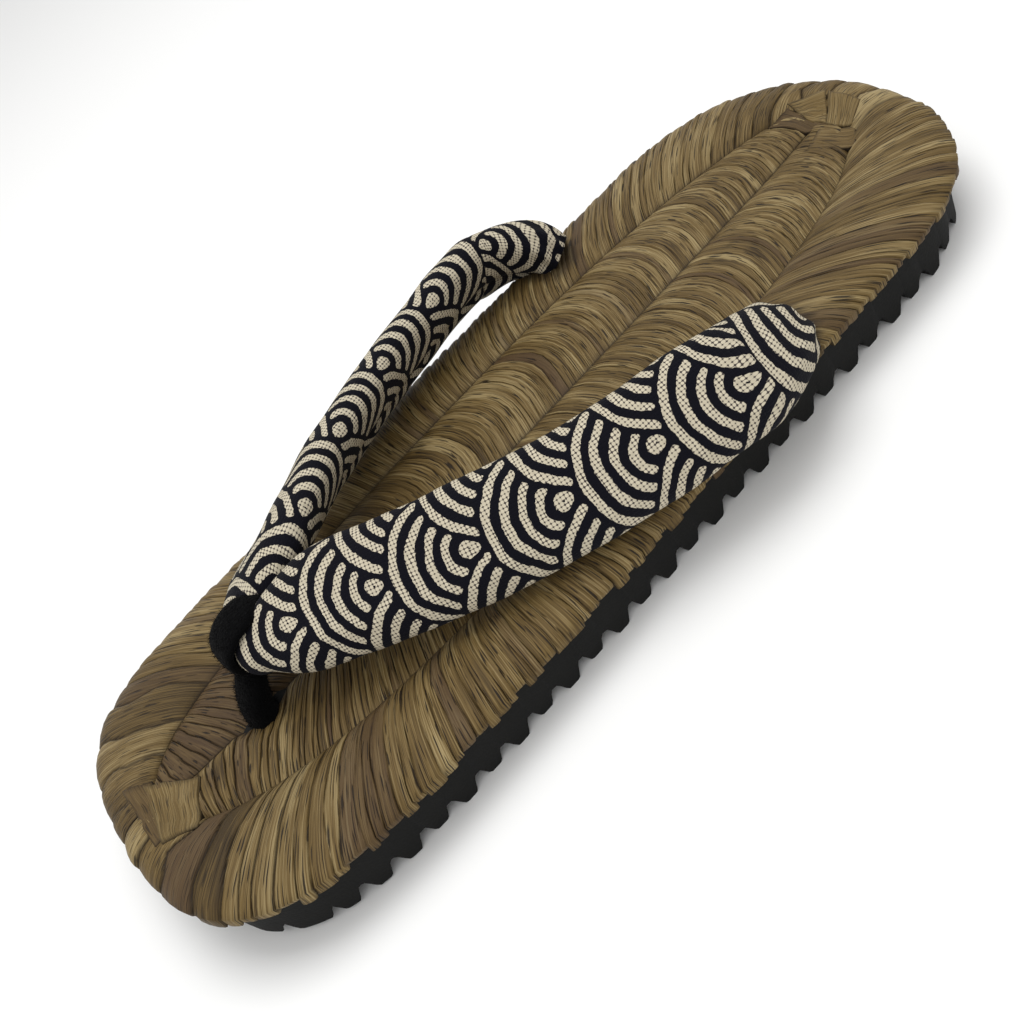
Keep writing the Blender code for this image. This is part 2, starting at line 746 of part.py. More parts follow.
def main():
    for item in list(bpy.data.objects):
        bpy.data.objects.remove(item, do_unlink=True)
    scene = bpy.context.scene
    parts = bpy.data.collections.new("zori_sandal")
    cutters = bpy.data.collections.new("cutters")
    scene.collection.children.link(parts)
    scene.collection.children.link(cutters)
    cutters.hide_render = True

    def cutter(name, build, flat_faces=False):
        item = new_object(name, build, cutters, flat_faces)
        item.display_type = "WIRE"
        item.hide_render = True
        return item

    # sole: prism less the gaps between its lugs
    gaps = cutter("gaps", build_gap_block, True)
    cut(gaps, cutter("lugs", build_lugs, True))
    outsole = new_object("outsole", build_sole_prism, parts, True)
    cut(outsole, gaps)
    finish(outsole, "eva_foam_black", (0.012, 0.012, 0.011), 0.75, False)

    # mat with the thong hole and the two strap entries
    footbed = new_object("footbed", build_mat, parts)
    hole_y = along(THONG_ALONG_SHARE)
    low, high = SOLE_HEIGHT - OVERCUT, CREASE_HEIGHT + 2 * OVERCUT
    footbed_cuts = [((0.0, hole_y), THONG_WIDTH / 2, POST_DEPTH / 2, "thong_hole")]
    entry_y = along(ENTRY_ALONG_SHARE)
    for side, tag in ((1, "plus"), (-1, "minus")):
        place = (side * ENTRY_ACROSS_SHARE * HALF_WIDTH, entry_y)
        footbed_cuts.append((place, NECK_HALF_ACROSS, NECK_HALF_ALONG, "entry_" + tag))
    for place, across, lengthwise, name in footbed_cuts:
        peg = cutter(
            name,
            lambda builder: build_peg(
                builder, place, across + 2 * CLEARANCE, lengthwise + 2 * CLEARANCE, low, high
            ),
        )
        cut(footbed, peg)
    finish(footbed, "bamboo_sheath", (0.19, 0.14, 0.07), 0.6, False)

    # thong: loop and post in one piece
    thong = new_object("toe_thong", build_loop, parts)
    cut(thong, cutter("thong_post", build_post), "UNION")
    finish(thong, "velvet_black", (0.006, 0.006, 0.007), 0.95, True)

    # strap: two arms resting on the rim, joined at the toe, seated in the loop
    def arm(item, side, tag):
        cut(item, cutter("rim_seat_" + tag, lambda b: build_rim_seat(b, side)))
        cut(item, cutter("neck_" + tag, lambda b: build_neck(b, side)), "UNION")

    strap = new_object("strap_upper", lambda b: build_arm(b, 1), parts)
    arm(strap, 1, "plus")
    other = cutter("strap_arm", lambda b: build_arm(b, -1))
    arm(other, -1, "minus")
    cut(strap, other, "UNION")
    cut(strap, cutter("loop_seat", lambda b: build_loop(b, CLEARANCE)))
    cut(strap, cutter("post_seat", lambda b: build_post(b, CLEARANCE)))
    finish(strap, "cotton_cloth", (0.25, 0.22, 0.22), 0.85, True)


main()
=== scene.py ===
import bisect
import json
import math
import random

import bmesh
import bpy
from mathutils import Matrix, Vector, noise
from mathutils.bvhtree import BVHTree

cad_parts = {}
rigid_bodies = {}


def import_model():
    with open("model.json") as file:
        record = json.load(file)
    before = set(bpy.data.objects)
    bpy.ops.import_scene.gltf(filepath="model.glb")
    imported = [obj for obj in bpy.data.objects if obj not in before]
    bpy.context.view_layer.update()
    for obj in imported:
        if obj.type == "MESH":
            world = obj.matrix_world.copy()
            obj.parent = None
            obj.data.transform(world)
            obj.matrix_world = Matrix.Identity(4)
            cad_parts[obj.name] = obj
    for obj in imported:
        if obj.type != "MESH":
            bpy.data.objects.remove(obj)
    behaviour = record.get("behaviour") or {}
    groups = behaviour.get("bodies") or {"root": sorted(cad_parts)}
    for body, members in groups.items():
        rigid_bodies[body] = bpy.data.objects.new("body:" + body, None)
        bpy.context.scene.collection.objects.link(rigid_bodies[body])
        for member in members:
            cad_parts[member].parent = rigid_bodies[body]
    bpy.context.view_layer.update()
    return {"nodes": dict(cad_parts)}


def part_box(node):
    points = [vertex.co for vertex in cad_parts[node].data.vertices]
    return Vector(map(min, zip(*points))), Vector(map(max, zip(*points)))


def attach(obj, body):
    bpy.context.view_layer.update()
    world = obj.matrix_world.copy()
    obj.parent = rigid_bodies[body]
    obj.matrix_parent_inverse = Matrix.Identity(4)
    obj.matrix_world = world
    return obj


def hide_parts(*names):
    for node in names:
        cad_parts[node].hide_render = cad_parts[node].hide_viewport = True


bl_info = {
    "name": "Zori sandal looks",
    "version": (1, 0, 0),
    "blender": (4, 5, 0),
    "location": "View3D > Sidebar > Zori",
    "description": "Builds the woven mat, strap, thong and sole of a zori sandal",
    "category": "Object",
}

MM = 0.001
BODY = "root"

# Camera fitted to the photograph, then turned on its place so that the one
# sandal fills the frame: place in metres, its right and its up, and its lens
# and sensor in millimetres
CAMERA_PLACE = Vector((0.22477, -0.06607, 0.19204))
CAMERA_RIGHT = Vector((0.56350, 0.67241, -0.47992))
CAMERA_UP = Vector((-0.34080, 0.71841, 0.60641))
CAMERA_LENS, CAMERA_SENSOR = 42.0, 36.0

# Lamps, all aimed at the middle of the floor: name, place in metres, size in
# metres, share of the key light's power
LAMPS = (
    ("key", (-0.12, 0.12, 1.0), 0.7, 1.0),
    ("fill", (0.6, -0.35, 0.7), 0.9, 0.3),
)
SKY_STRENGTH = 0.75
FLOOR_HALF_SIZE = 4.0

# The solids, and what follows from them
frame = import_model()
MAT_LOW, MAT_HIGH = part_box("footbed")
MAT_LENGTH = MAT_HIGH.y - MAT_LOW.y
HALF_WIDTH = (MAT_HIGH.x - MAT_LOW.x) / 2
MAT_BOTTOM = MAT_LOW.z
CREASE_HEIGHT = MAT_BOTTOM + 2.8 * MM
TOE_SPRING = 3.5 * MM
HEEL_RISE = 3.0 * MM
TOE_SPRING_END = 0.25
HEEL_RISE_START = 0.84
TOE_ROUND_DEPTH, TOE_ROUND_POWER = 0.231, 2.65
HEEL_ROUND_DEPTH, HEEL_ROUND_POWER = 0.169, 2.31
CREASE_HALF_SHARE = 0.585
CREASE_TOE_SHARE, CREASE_HEEL_SHARE = 0.045, 0.955
CREASE_POWER = 2.5
THONG_SHARE = 0.158
RIM_CROWN = 2.7 * MM
RIM_LAID_OUT = 28.0 * MM
# how far a strip of the rim leans to the heel: share of the rim's length
RIM_SLANT = 0.02
BAND_CROWN = 1.6 * MM
# how far the bands' strips reach back at the middle crease near the toe, and
# how far they bow back behind it
TOE_CHEVRON = 17.0 * MM
BAND_ARC = 4.0 * MM
STRAP_WIDTH = 27.0 * MM
STRAP_THICKNESS = 12.8 * MM
STRAP_ARCH = 18.0 * MM
SOLE_HEIGHT = 13.0 * MM
SOLE_INSET = 2.5 * MM
SOLE_END = 2.6 * MM
SOLE_ROW_STEP = 0.65 * MM
SOLE_COLUMNS = 60
LUG_HEIGHT = 4.0 * MM
LUG_PITCH = 8.1 * MM
LUG_ROW_START = 3.0 * MM
LUG_TIP_LENGTH = 4.3 * MM
LUG_ROOT_LENGTH = 6.9 * MM
# where a lug's round begins and ends: shares of its tip's and root's length
LUG_ROUND = (0.30, 0.545)
LUG_SIDE_GAP = 4.0 * MM
LUG_SET_BACK = 0.7 * MM
LUG_PAST_EDGE = 5.0 * MM
LUGS_AT_EDGE, LUGS_SET_BACK = 4, 3
SINGLE_LUG_REACH = 19.4 * MM
TOE_PAD_ROW = -14
TOE_PAD_EXTRA = 3.4 * MM
FIRST_SET_BACK_ROW = -10

# Loose fibres of the velvet: radius at the root and the tip, fibres in a tuft
FIBRE_ROOT, FIBRE_TIP = 0.05 * MM, 0.012 * MM
TUFT_FIBRES = 150

# Shader nodes that the materials use most
MATH, MIX, NOISE = "ShaderNodeMath", "ShaderNodeMix", "ShaderNodeTexNoise"
VECTOR_MATH = "ShaderNodeVectorMath"

# Outline half width: share along from the toe, share of the half width
OUTLINE = (
    (0.00, 1.105), (0.14, 1.003), (0.28, 0.999), (0.45, 1.000),
    (0.62, 0.990), (0.78, 0.988), (0.90, 0.979), (1.00, 0.990),
)

# Rim roll: share of the rim's width, height in rim crowns above the crease
RIM_SECTION = (
    (-0.04, -0.35), (0.00, 0.00), (0.13, 0.58), (0.36, 1.00), (0.60, 0.92),
    (0.80, 0.56), (0.92, 0.12), (1.00, -0.42),
)

# Band: share of the way from the middle crease to the side crease, height in
# band crowns above the crease
BAND_SECTION = (
    (-0.03, -0.35), (0.00, 0.00), (0.17, 0.72), (0.50, 1.00), (0.83, 0.72),
    (1.00, 0.00), (1.04, -0.35),
)

# Rows of one strip: share of its width, share of its lift, darkness of the gap:
# the dark crack and painted shade where the strip drops under its neighbour
STRIP_ROWS = (
    (0.00, -0.50, 1.00), (0.05, 0.15, 0.45), (0.12, 0.45, 0.05), (0.40, 0.85, 0.0),
    (0.70, 1.00, 0.0), (0.92, 0.85, 0.0), (0.985, 0.40, 0.50),
)

# Columns of the rim and of a band, as shares across; past 1 the rim's strips
# hang down over the sole
RIM_COLUMNS = (
    -0.04, 0.0, 0.015, 0.05, 0.12, 0.22, 0.34, 0.46, 0.58, 0.70, 0.80, 0.89, 0.95, 1.0,
    1.06, 1.12,
)
BAND_COLUMNS = (
    -0.03, 0.0, 0.015, 0.06, 0.14, 0.24, 0.36, 0.5, 0.64, 0.76, 0.86, 0.94, 1.0, 1.04,
)

# Width of the strips of the rim, by its side, and of the bands: share along,
# millimetres
RIM_STRIPS = {
    1: (
        (0.00, 9.0), (0.06, 8.5), (0.10, 4.6), (0.16, 3.6), (0.25, 2.9), (0.75, 2.7),
        (0.88, 4.0), (1.00, 9.0),
    ),
    -1: (
        (0.00, 9.0), (0.09, 9.0), (0.15, 7.0), (0.18, 4.0), (0.25, 3.0), (0.75, 2.7),
        (0.88, 4.0), (1.00, 9.0),
    ),
}
BAND_STRIPS = ((0.00, 2.2), (0.12, 1.8), (0.22, 2.2), (0.88, 2.2), (1.00, 3.6))

# Cracks between the strips stand open before and behind these shares, and a
# strip wider than this is a broad fold
OPEN_TOE_END, OPEN_HEEL_START = 0.165, 0.93
BROAD_STRIP = 5.0 * MM

# The foot of the mat's wall is set in at the ends of the mat, outside these
# shares of its length, and within some distance of the edge: that distance,
# and how far it is set in
MAT_END_SHARES = (0.012, 0.988)
WALL_EDGE, WALL_INSET = 2.0 * MM, 2.6 * MM

# Hollow round the foot of the thong: half width, half length and depth
THONG_HOLLOW = (7.5 * MM, 6.0 * MM, 1.3 * MM)

# Noise drawn out along the fibres of the sheath: length and width in
# millimetres, detail
GRAIN = {
    "fibres": (20.0, 0.28, 2.0),
    "ribs": (30.0, 0.8, 1.0),
    "blotches": (26.0, 8.0, 1.0),
    "splits": (7.0, 0.36, 0.0),
}

# Strap arm, as in the solids but for its rear end, which lies a little further
# forward: share across the half width, share along, height in arches, width
# share, thickness share, tilt and heading in degrees
STRAP_ARM = (
    (0.100, 0.203, 0.98, 0.50, 0.74, -24.0, -12.0),
    (0.150, 0.222, 1.00, 0.74, 0.88, -27.0, -16.0),
    (0.212, 0.246, 1.01, 0.92, 0.96, -32.0, -24.0),
    (0.300, 0.280, 1.00, 1.00, 1.00, -37.0, -28.0),
    (0.568, 0.367, 0.91, 0.99, 0.98, -45.0, -30.0),
    (0.815, 0.477, 0.77, 0.97, 0.98, -48.0, -22.0),
    (0.970, 0.596, 0.65, 0.96, 1.04, -50.0, -6.0),
    (0.980, 0.628, 0.55, 0.92, 1.03, -52.0, 2.0),
    (0.945, 0.657, 0.45, 0.82, 1.10, -46.0, 7.0),
    (0.878, 0.680, 0.27, 0.70, 1.14, -36.0, 9.0),
    (0.810, 0.692, -0.02, 0.52, 0.96, -20.0, 6.0),
)

# Cloth of each arm by its side: its start along and across in millimetres,
# and how much it is drawn out lengthwise
ARM_CLOTH = {1: (-10.6, -1.3, 1.0), -1: (-10.0, 0.0, 0.86)}

# How much further back, higher and wider each arm ends: share of the mat's
# length, arches and width share
ARM_TAIL = {1: (0.0, 0.0, 0.0), -1: (0.010, 0.09, 0.10)}

# Painted contact shadow round the place where an arm enters the mat, standing for
# the dark slit there, in millimetres: its middle, half width and half length
ENTRY_SHADOW = (43.5, 50.0, 9.5, 7.4)

# Section of an arm: power of its oval. Reach of its round front end, in
# thicknesses
ARM_POWER, ARM_FRONT = 2.2, 0.52

# Relief of an arm: soft bulges, pleats at the rear end, a lengthwise kink and
# the sunk seam
BULGE, PLEAT, KINK, SEAM = 0.45 * MM, 0.55 * MM, 0.8 * MM, 0.9 * MM

# Rings of an arm behind its front end, rings of the round front end itself,
# and points in a ring
ARM_RINGS, DOME_RINGS, RING_POINTS = 130, 10, 64

# Rings of an arm's front end that hold its pale hem, and navy beside it
HEM_ROWS = {4: 1.0, 5: -0.6, 6: -1.0, 7: -0.6}

# The wave print wavers: size and reach of the wavering in millimetres
PRINT_WAVER = ((7.0, 0.9), (0.9, 0.28))

# Rows and columns of a patch, as shares of its sides
PATCH_SHARES = (0.0, 0.04, 0.12, 0.25, 0.4, 0.55, 0.7, 0.83, 0.93, 0.97, 1.0)

# Patches laid over the strips at the toe and the heel: four corners in
# millimetres with the fibres from the first to the second, lift in
# millimetres, tone and stain
PATCHES = (
    ((-11.0, -123.6), (12.6, -124.0), (12.5, -118.6), (-8.0, -117.4), 0.35, 0.42, 0.35),
    ((-8.6, -119.8), (13.6, -122.4), (16.6, -114.5), (3.0, -107.6), 0.65, 0.56, 0.0),
    ((-13.0, 110.9), (0.5, 111.6), (6.3, 114.7), (-11.4, 118.3), 0.30, 0.32, 0.45),
    ((4.0, 113.2), (14.4, 115.3), (19.4, 109.0), (5.6, 105.6), 0.20, 0.44, 0.15),
    ((-11.7, 118.7), (-1.8, 124.6), (5.9, 114.2), (-1.6, 115.1), 0.45, 0.50, 0.0),
    ((-1.1, 124.2), (5.4, 114.0), (13.4, 115.2), (11.5, 122.6), 0.45, 0.56, 0.0),
)


def linear(code):
    """Linear colour of an sRGB hex code."""
    channels = [int(code[i : i + 2], 16) / 255 for i in (1, 3, 5)]
    return [c / 12.92 if c <= 0.04045 else ((c + 0.055) / 1.055) ** 2.4 for c in channels]


def held(value):
    """A value held between 0 and 1."""
    return min(max(value, 0.0), 1.0)


def smooth_step(low, high, value):
    """A cubic from 0 to 1."""
    share = held((value - low) / (high - low))
    return share * share * (3 - 2 * share)


def soft_step(low, high, value):
    """Half a cosine wave from 0 to 1."""
    return 0.5 - 0.5 * math.cos(math.pi * held((value - low) / (high - low)))


def eased(t, a, b, slope_a, slope_b):
    """Cubic from a to b with given slopes at its ends, for t from 0 to 1."""
    rest = (1 - t) ** 2
    return (1 + 2 * t) * rest * a + t * rest * slope_a + t * t * ((3 - 2 * t) * b + (t - 1) * slope_b)


def table_value(rows, share):
    """Smooth value at a share, from rows of a share and its value."""
    if share <= rows[0][0]:
        return rows[0][1]
    for i in range(len(rows) - 1):
        (a, va), (b, vb) = rows[i], rows[i + 1]
        if share <= b:
            before, after = rows[max(i - 1, 0)], rows[min(i + 2, len(rows) - 1)]
            slope_a = (vb - before[1]) / (b - before[0])
            slope_b = (after[1] - va) / (after[0] - a)
            return eased((share - a) / (b - a), va, vb, (b - a) * slope_a, (b - a) * slope_b)
    return rows[-1][1]


def half_width(share):
    """Half width of the mat's outline at a share of the length from the toe."""
    width = HALF_WIDTH * table_value(OUTLINE, share)
    for left, power in (
        (1 - share / TOE_ROUND_DEPTH, TOE_ROUND_POWER),
        (1 - (1 - share) / HEEL_ROUND_DEPTH, HEEL_ROUND_POWER),
    ):
        if left > 0:
            width *= max(0.0, 1 - min(left, 1.0) ** power) ** (1 / power)
    return width


def along(share):
    """Y of a share of the length from the toe."""
    return (share - 0.5) * MAT_LENGTH


CREASE_FRONT, CREASE_BACK = along(CREASE_TOE_SHARE), along(CREASE_HEEL_SHARE)
CREASE_MIDDLE = (CREASE_FRONT + CREASE_BACK) / 2
CREASE_REACH = (CREASE_BACK - CREASE_FRONT) / 2


def rise(y):
    """Height of toe spring and heel rise above the flat middle."""
    share = y / MAT_LENGTH + 0.5
    toe = max(0.0, TOE_SPRING_END - share) / TOE_SPRING_END
    heel = max(0.0, share - HEEL_RISE_START) / (1 - HEEL_RISE_START)
    return TOE_SPRING * toe**2 + HEEL_RISE * heel**2


def crease_half_width(y):
    """Half width of the oval crease between the rim and the bands."""
    off = min(abs(y - CREASE_MIDDLE) / CREASE_REACH, 1.0)
    return CREASE_HALF_SHARE * HALF_WIDTH * (1 - off**CREASE_POWER) ** (1 / CREASE_POWER)


class Line:
    """A polyline that is read at a share of its length."""

    def __init__(self, points):
        self.points = points
        self.lengths = [0.0]
        for a, b in zip(points, points[1:]):
            self.lengths.append(self.lengths[-1] + (b - a).length)

    def at(self, share):
        goal = held(share) * self.lengths[-1]
        high = min(bisect.bisect_right(self.lengths, goal), len(self.lengths) - 1)
        low = high - 1
        span = self.lengths[high] - self.lengths[low]
        t = (goal - self.lengths[low]) / span if span else 0.0
        return self.points[low].lerp(self.points[high], t)


def half_outline(samples=400):
    """The mat's outline on the +X side, from the toe to the heel."""
    shares = [(1 - math.cos(math.pi * i / samples)) / 2 for i in range(samples + 1)]
    return Line([Vector((half_width(s), along(s), 0.0)) for s in shares])


def half_crease(samples=400):
    """The oval crease on the +X side, from the toe to the heel."""
    points = []
    for i in range(samples + 1):
        y = CREASE_MIDDLE - CREASE_REACH * math.cos(math.pi * i / samples)
        points.append(Vector((crease_half_width(y), y, 0.0)))
    return Line(points)


CREASE, EDGE = half_crease(), half_outline()


def node(tree, kind, links, output=0, **settings):
    """Add a node with its settings and links, and give one of its outputs. A
    link's value is another node's output or a plain value."""
    item = tree.nodes.new(kind)
    for key, value in settings.items():
        setattr(item, key, value)
    for key, value in links.items():
        if isinstance(value, bpy.types.NodeSocket):
            tree.links.new(value, item.inputs[key])
        else:
            item.inputs[key].default_value = value
    return item.outputs[output]


def start_material(name, **sockets):
    """A new material with values on the sockets of its Principled shader."""
    item = bpy.data.materials.new(name)
    item.use_nodes = True
    shader = item.node_tree.nodes["Principled BSDF"]
    for key, value in sockets.items():
        shader.inputs[key.replace("_", " ")].default_value = value
    return item, item.node_tree


def finish_material(item, colour, height, strength, depth):
    """Give a material its colour and its relief, and hand it back."""
    tree = item.node_tree
    bump = node(tree, "ShaderNodeBump", {"Height": height, "Strength": strength, "Distance": depth})
    for value, socket in ((colour, "Base Color"), (bump, "Normal")):
        tree.links.new(value, tree.nodes["Principled BSDF"].inputs[socket])
    return item


def number_grid(builder, columns, rows):
    """Add a flat grid, and give the column and row of each of its vertices."""
    made = bmesh.ops.create_grid(builder, x_segments=columns, y_segments=rows, size=1.0)
    return {
        vert: (round((vert.co.x + 1) / 2 * columns), round((vert.co.y + 1) / 2 * rows))
        for vert in made["verts"]
    }


def faces_on(verts):
    return {face for vert in verts for face in vert.link_faces}


def mesh_of(name, builder):
    """A mesh from a bmesh, which is freed."""
    mesh = bpy.data.meshes.new(name)
    builder.to_mesh(mesh)
    builder.free()
    return mesh


def placed(name, data):
    """An object in the scene."""
    item = bpy.data.objects.new(name, data)
    bpy.context.scene.collection.objects.link(item)
    return item


def finished(name, builder, material):
    """A piece from a bmesh, riding on the sandal's body."""
    mesh = mesh_of(name, builder)
    mesh.materials.append(material)
    mesh.polygons.foreach_set("use_smooth", [True] * len(mesh.polygons))
    item = placed(name, mesh)
    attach(item, BODY)
    return item


# Sheath of bamboo or corn, dried, wetted, folded and sewn in overlapping
# strips: olive brown, with straight fibres, thin splits and hardly any gloss.
def sheath_material(settings):
    item, tree = start_material("bamboo_sheath", Roughness=0.6, Specular_IOR_Level=0.22)
    uv = node(tree, "ShaderNodeUVMap", {}, uv_map="fibre")
    tone = node(tree, "ShaderNodeAttribute", {}, attribute_name="tone", attribute_type="GEOMETRY")
    parts = node(tree, "ShaderNodeSeparateColor", {"Color": tone}).node.outputs
    strip, crack_and_painted_shade, brown = parts["Red"], parts["Green"], parts["Blue"]
    grain = tone.node.outputs["Alpha"]

    drawn = {}
    for name, (long, wide, detail) in GRAIN.items():
        scale = (1 / (long * MM), 1 / (wide * MM), 1.0)
        place = node(tree, "ShaderNodeMapping", {"Vector": uv, "Scale": scale})
        cloud = {"Vector": place, "Scale": 1.0, "Detail": detail, "Roughness": 0.6}
        drawn[name] = node(tree, NOISE, cloud)
    fibres, ribs, blotches, splits = drawn.values()
    mixed = strip
    for cloud, share in ((fibres, settings.fibre_contrast), (ribs, 0.5), (blotches, 0.9)):
        swing = node(tree, MATH, {0: cloud, 1: share, 2: -0.5 * share}, operation="MULTIPLY_ADD")
        mixed = node(tree, MATH, {0: swing, 1: grain, 2: mixed}, operation="MULTIPLY_ADD")
    twice = node(tree, MATH, {0: mixed, 1: 2.0}, operation="MULTIPLY")
    over = node(tree, MATH, {0: twice, 1: 1.0}, operation="SUBTRACT")
    colour = (*settings.dark, 1.0)
    for share, tint in ((twice, settings.middle), (over, settings.light), (brown, settings.stain)):
        colour = node(tree, MIX, {0: share, 6: colour, 7: (*tint, 1.0)}, 2, data_type="RGBA")
    # a split opens where the drawn-out noise is lowest
    often = node(tree, MATH, {0: blotches, 1: 0.2, 2: 0.25}, operation="MULTIPLY_ADD")
    split = node(tree, MATH, {0: often, 1: splits}, operation="SUBTRACT")
    split = node(tree, MATH, {0: split, 1: 16.0}, operation="MULTIPLY", use_clamp=True)
    # the splits, then the cracks with their painted shade at gap edges, creases, patch edges and the
    # strap's entry, darken the colour towards near black
    shade = split
    for operation, value in (("MULTIPLY", grain), ("MULTIPLY", 0.9), ("MAXIMUM", crack_and_painted_shade)):
        shade = node(tree, MATH, {0: shade, 1: value}, operation=operation)
    colour = node(tree, MIX, {0: shade, 6: colour, 7: (*linear("#19120c"), 1.0)}, 2, data_type="RGBA")
    relief = node(tree, MATH, {0: fibres, 1: 0.7, 2: ribs}, operation="MULTIPLY_ADD")
    relief = node(tree, MATH, {0: shade, 1: -0.8, 2: relief}, operation="MULTIPLY_ADD")
    return finish_material(item, colour, relief, 0.7, 0.4 * MM)


def strip_edges(table, length, dice):
    """Shares at which strips begin, with widths from a table, in millimetres."""
    edges = [0.0]
    while edges[-1] < 1.0:
        width = table_value(table, edges[-1]) * MM * dice.uniform(0.62, 1.45)
        edges.append(edges[-1] + width / length)
    if 1.0 - edges[-2] < 0.4 * (edges[-1] - edges[-2]):
        edges.pop()
    edges[-1] = 1.0
    return edges


def strip_looks(edges, length, dice, lift, brown_share, accents):
    """Tone, stain, lift and end of every strip. An accent is a first and last
    share, a tone and a stain."""
    looks = []
    left_in_group = 0
    group = 1
    for start, end in zip(edges, edges[1:]):
        broad = (end - start) * length > BROAD_STRIP
        near_end = start < OPEN_TOE_END or start > OPEN_HEEL_START
        tone = min(max(dice.gauss(0.52, 0.2) if broad else dice.gauss(0.5, 0.11), 0.15), 0.85)
        brown = dice.uniform(0.35, 0.75) if dice.random() < brown_share else dice.uniform(0.0, 0.12)
        for first, last, wanted, stain in accents:
            if first <= start < last:
                tone, brown = wanted + dice.uniform(-0.06, 0.06), stain + dice.uniform(-0.1, 0.1)
        if left_in_group == 0:
            group = dice.randint(2, 5)
            left_in_group = group
        looks.append(
            {
                "tone": tone,
                "brown": max(brown, 0.0),
                "lift": dice.uniform(0.5, 1.3) * lift * (1.35 if broad else 1.0),
                "open": 0.9 if near_end else 0.0,
                "grain": 0.9 if broad else 1.0,
                "hang": left_in_group / group + dice.uniform(-0.15, 0.15),
                "seed": dice.uniform(0.0, 50.0),
            }
        )
        left_in_group -= 1
    return looks


def weave_zone(builder, place, columns, edges, looks, length, width, seed):
    """One zone of the mat: strips side by side on a grid, closed underneath.

    place(share, column, height, look) gives a point of the top."""
    strips, per = len(looks), len(STRIP_ROWS)
    rows = strips * per
    cells = number_grid(builder, len(columns) - 1, rows)
    uv = builder.loops.layers.uv["fibre"]
    tone = builder.verts.layers.float_color["tone"]

    def edge_at(k, across):
        near = edges[min(k + 1, strips)] - edges[max(k - 1, 0)]
        wander = noise.noise(Vector((across * 2.6, seed + k * 5.37, 0.0)))
        return edges[k] + (0.16 * near * wander if 0 < k < strips else 0.0)

    def spot(column, row, strip):
        share = STRIP_ROWS[row - strip * per][0] if row < (strip + 1) * per else 1.0
        across = columns[column]
        return edge_at(strip, across) * (1 - share) + edge_at(strip + 1, across) * share

    for face in faces_on(cells):
        strip = min(cells[vert][1] for vert in face.verts) // per
        shift = looks[strip]["seed"]
        for loop in face.loops:
            column, row = cells[loop.vert]
            loop[uv].uv = (columns[column] * width + shift, spot(column, row, strip) * length + shift)
    for vert, (column, row) in cells.items():
        strip = min(row // per, strips - 1)
        look = looks[strip]
        _, lift, gap = STRIP_ROWS[row - strip * per] if row < rows else STRIP_ROWS[0]
        across = columns[column]
        boundary = strip if row % per == 0 else strip + 1
        opened = 0.55 + 1.6 * noise.noise(Vector((across * 4.2, seed + boundary * 9.1, 4.0)))
        opened = min(max(opened, look["open"]), 1.0)
        height = look["lift"] * (lift if gap == 0 else lift * opened + 0.6 * (1 - opened))
        bumpy = noise.noise(Vector((across * 5.0, strip * 3.3 + seed, row * 0.31)))
        vert.co = place(spot(column, row, strip), column, height + 0.12 * MM * bumpy, look)
        # darkness of the cracks, with painted shade at the gaps' edges, in the creases and round the
        # strap's entry
        dark = max(gap * opened, crease_painted_shade(across), entry_painted_shadow(vert.co))
        vert[tone] = (look["tone"], dark, look["brown"], look["grain"])

    first, last = (along(share) for share in MAT_END_SHARES)

    def under(x, y):
        """Foot of the zone's wall, set in from the mat's edge."""
        edge = half_width(held(y / MAT_LENGTH + 0.5))
        if abs(x) > edge - WALL_EDGE or not first <= y <= last:
            spine = Vector((0.0, min(max(y, -0.3 * MAT_LENGTH), 0.3 * MAT_LENGTH)))
            x, y = Vector((x, y)) + (spine - Vector((x, y))).normalized() * WALL_INSET
        return x, y, MAT_BOTTOM + rise(y)

    close_sheet(builder, cells, under)


def close_sheet(builder, verts, under):
    """Take the border of a sheet to the places under it and close it there."""
    border = [e for e in builder.edges if e.is_boundary and all(v in verts for v in e.verts)]
    made = bmesh.ops.extrude_edge_only(builder, edges=border)["geom"]
    for vert in (item for item in made if isinstance(item, bmesh.types.BMVert)):
        vert.co = under(vert.co.x, vert.co.y)
    low = [item for item in made if isinstance(item, bmesh.types.BMEdge) and item.is_boundary]
    filled = bmesh.ops.contextual_create(builder, geom=low)["faces"]
    bmesh.ops.triangulate(builder, faces=filled)


def lay_patches(builder):
    """Single pieces of sheath over the strips, hugging what lies below."""
    below = BVHTree.FromBMesh(builder)
    uv = builder.loops.layers.uv["fibre"]
    tone = builder.verts.layers.float_color["tone"]
    shares, count = PATCH_SHARES, len(PATCH_SHARES) - 1
    near = [(0.0, 0.0)] + [(2.0 * MM * math.cos(a), 2.0 * MM * math.sin(a)) for a in range(6)]
    for index, (a, b, c, d, lift, wanted, stain) in enumerate(PATCHES):
        corners = [Vector(corner) * MM for corner in (a, b, c, d)]
        cells = number_grid(builder, count, count)
        long = (corners[1] - corners[0]).length
        wide = (corners[3] - corners[0]).length
        for face in faces_on(cells):
            for loop in face.loops:
                i, j = cells[loop.vert]
                loop[uv].uv = (shares[i] * long + index * 0.1, shares[j] * wide + index * 0.1)
        for vert, (i, j) in cells.items():
            s, t = shares[i], shares[j]
            spot = corners[0].lerp(corners[1], s).lerp(corners[3].lerp(corners[2], s), t)
            wander = noise.noise(Vector((s * 3, t * 3, index * 7.7)))
            spot = spot + spot.normalized() * 0.35 * MM * wander
            hits = []
            for dx, dy in near:
                above = Vector((spot.x + dx, spot.y + dy, 1.0))
                hit = below.ray_cast(above, Vector((0.0, 0.0, -1.0)))[0]
                if hit is not None:
                    hits.append(hit.z)
            rim = min(i, j, count - i, count - j)
            top = sum(hits) / len(hits)
            if rim:
                top += lift * MM * (0.8 if rim == 1 else 1.0) + 0.15 * MM * wander
            vert.co = (spot.x, spot.y, top)
            # painted shadow along the patch's edge, darkest at the very edge
            vert[tone] = (wanted, (0.95, 0.35, 0.0)[min(rim, 2)], stain, 0.7)
        close_sheet(builder, cells, lambda x, y: (x, y, MAT_BOTTOM + 2.0 * MM + rise(y)))


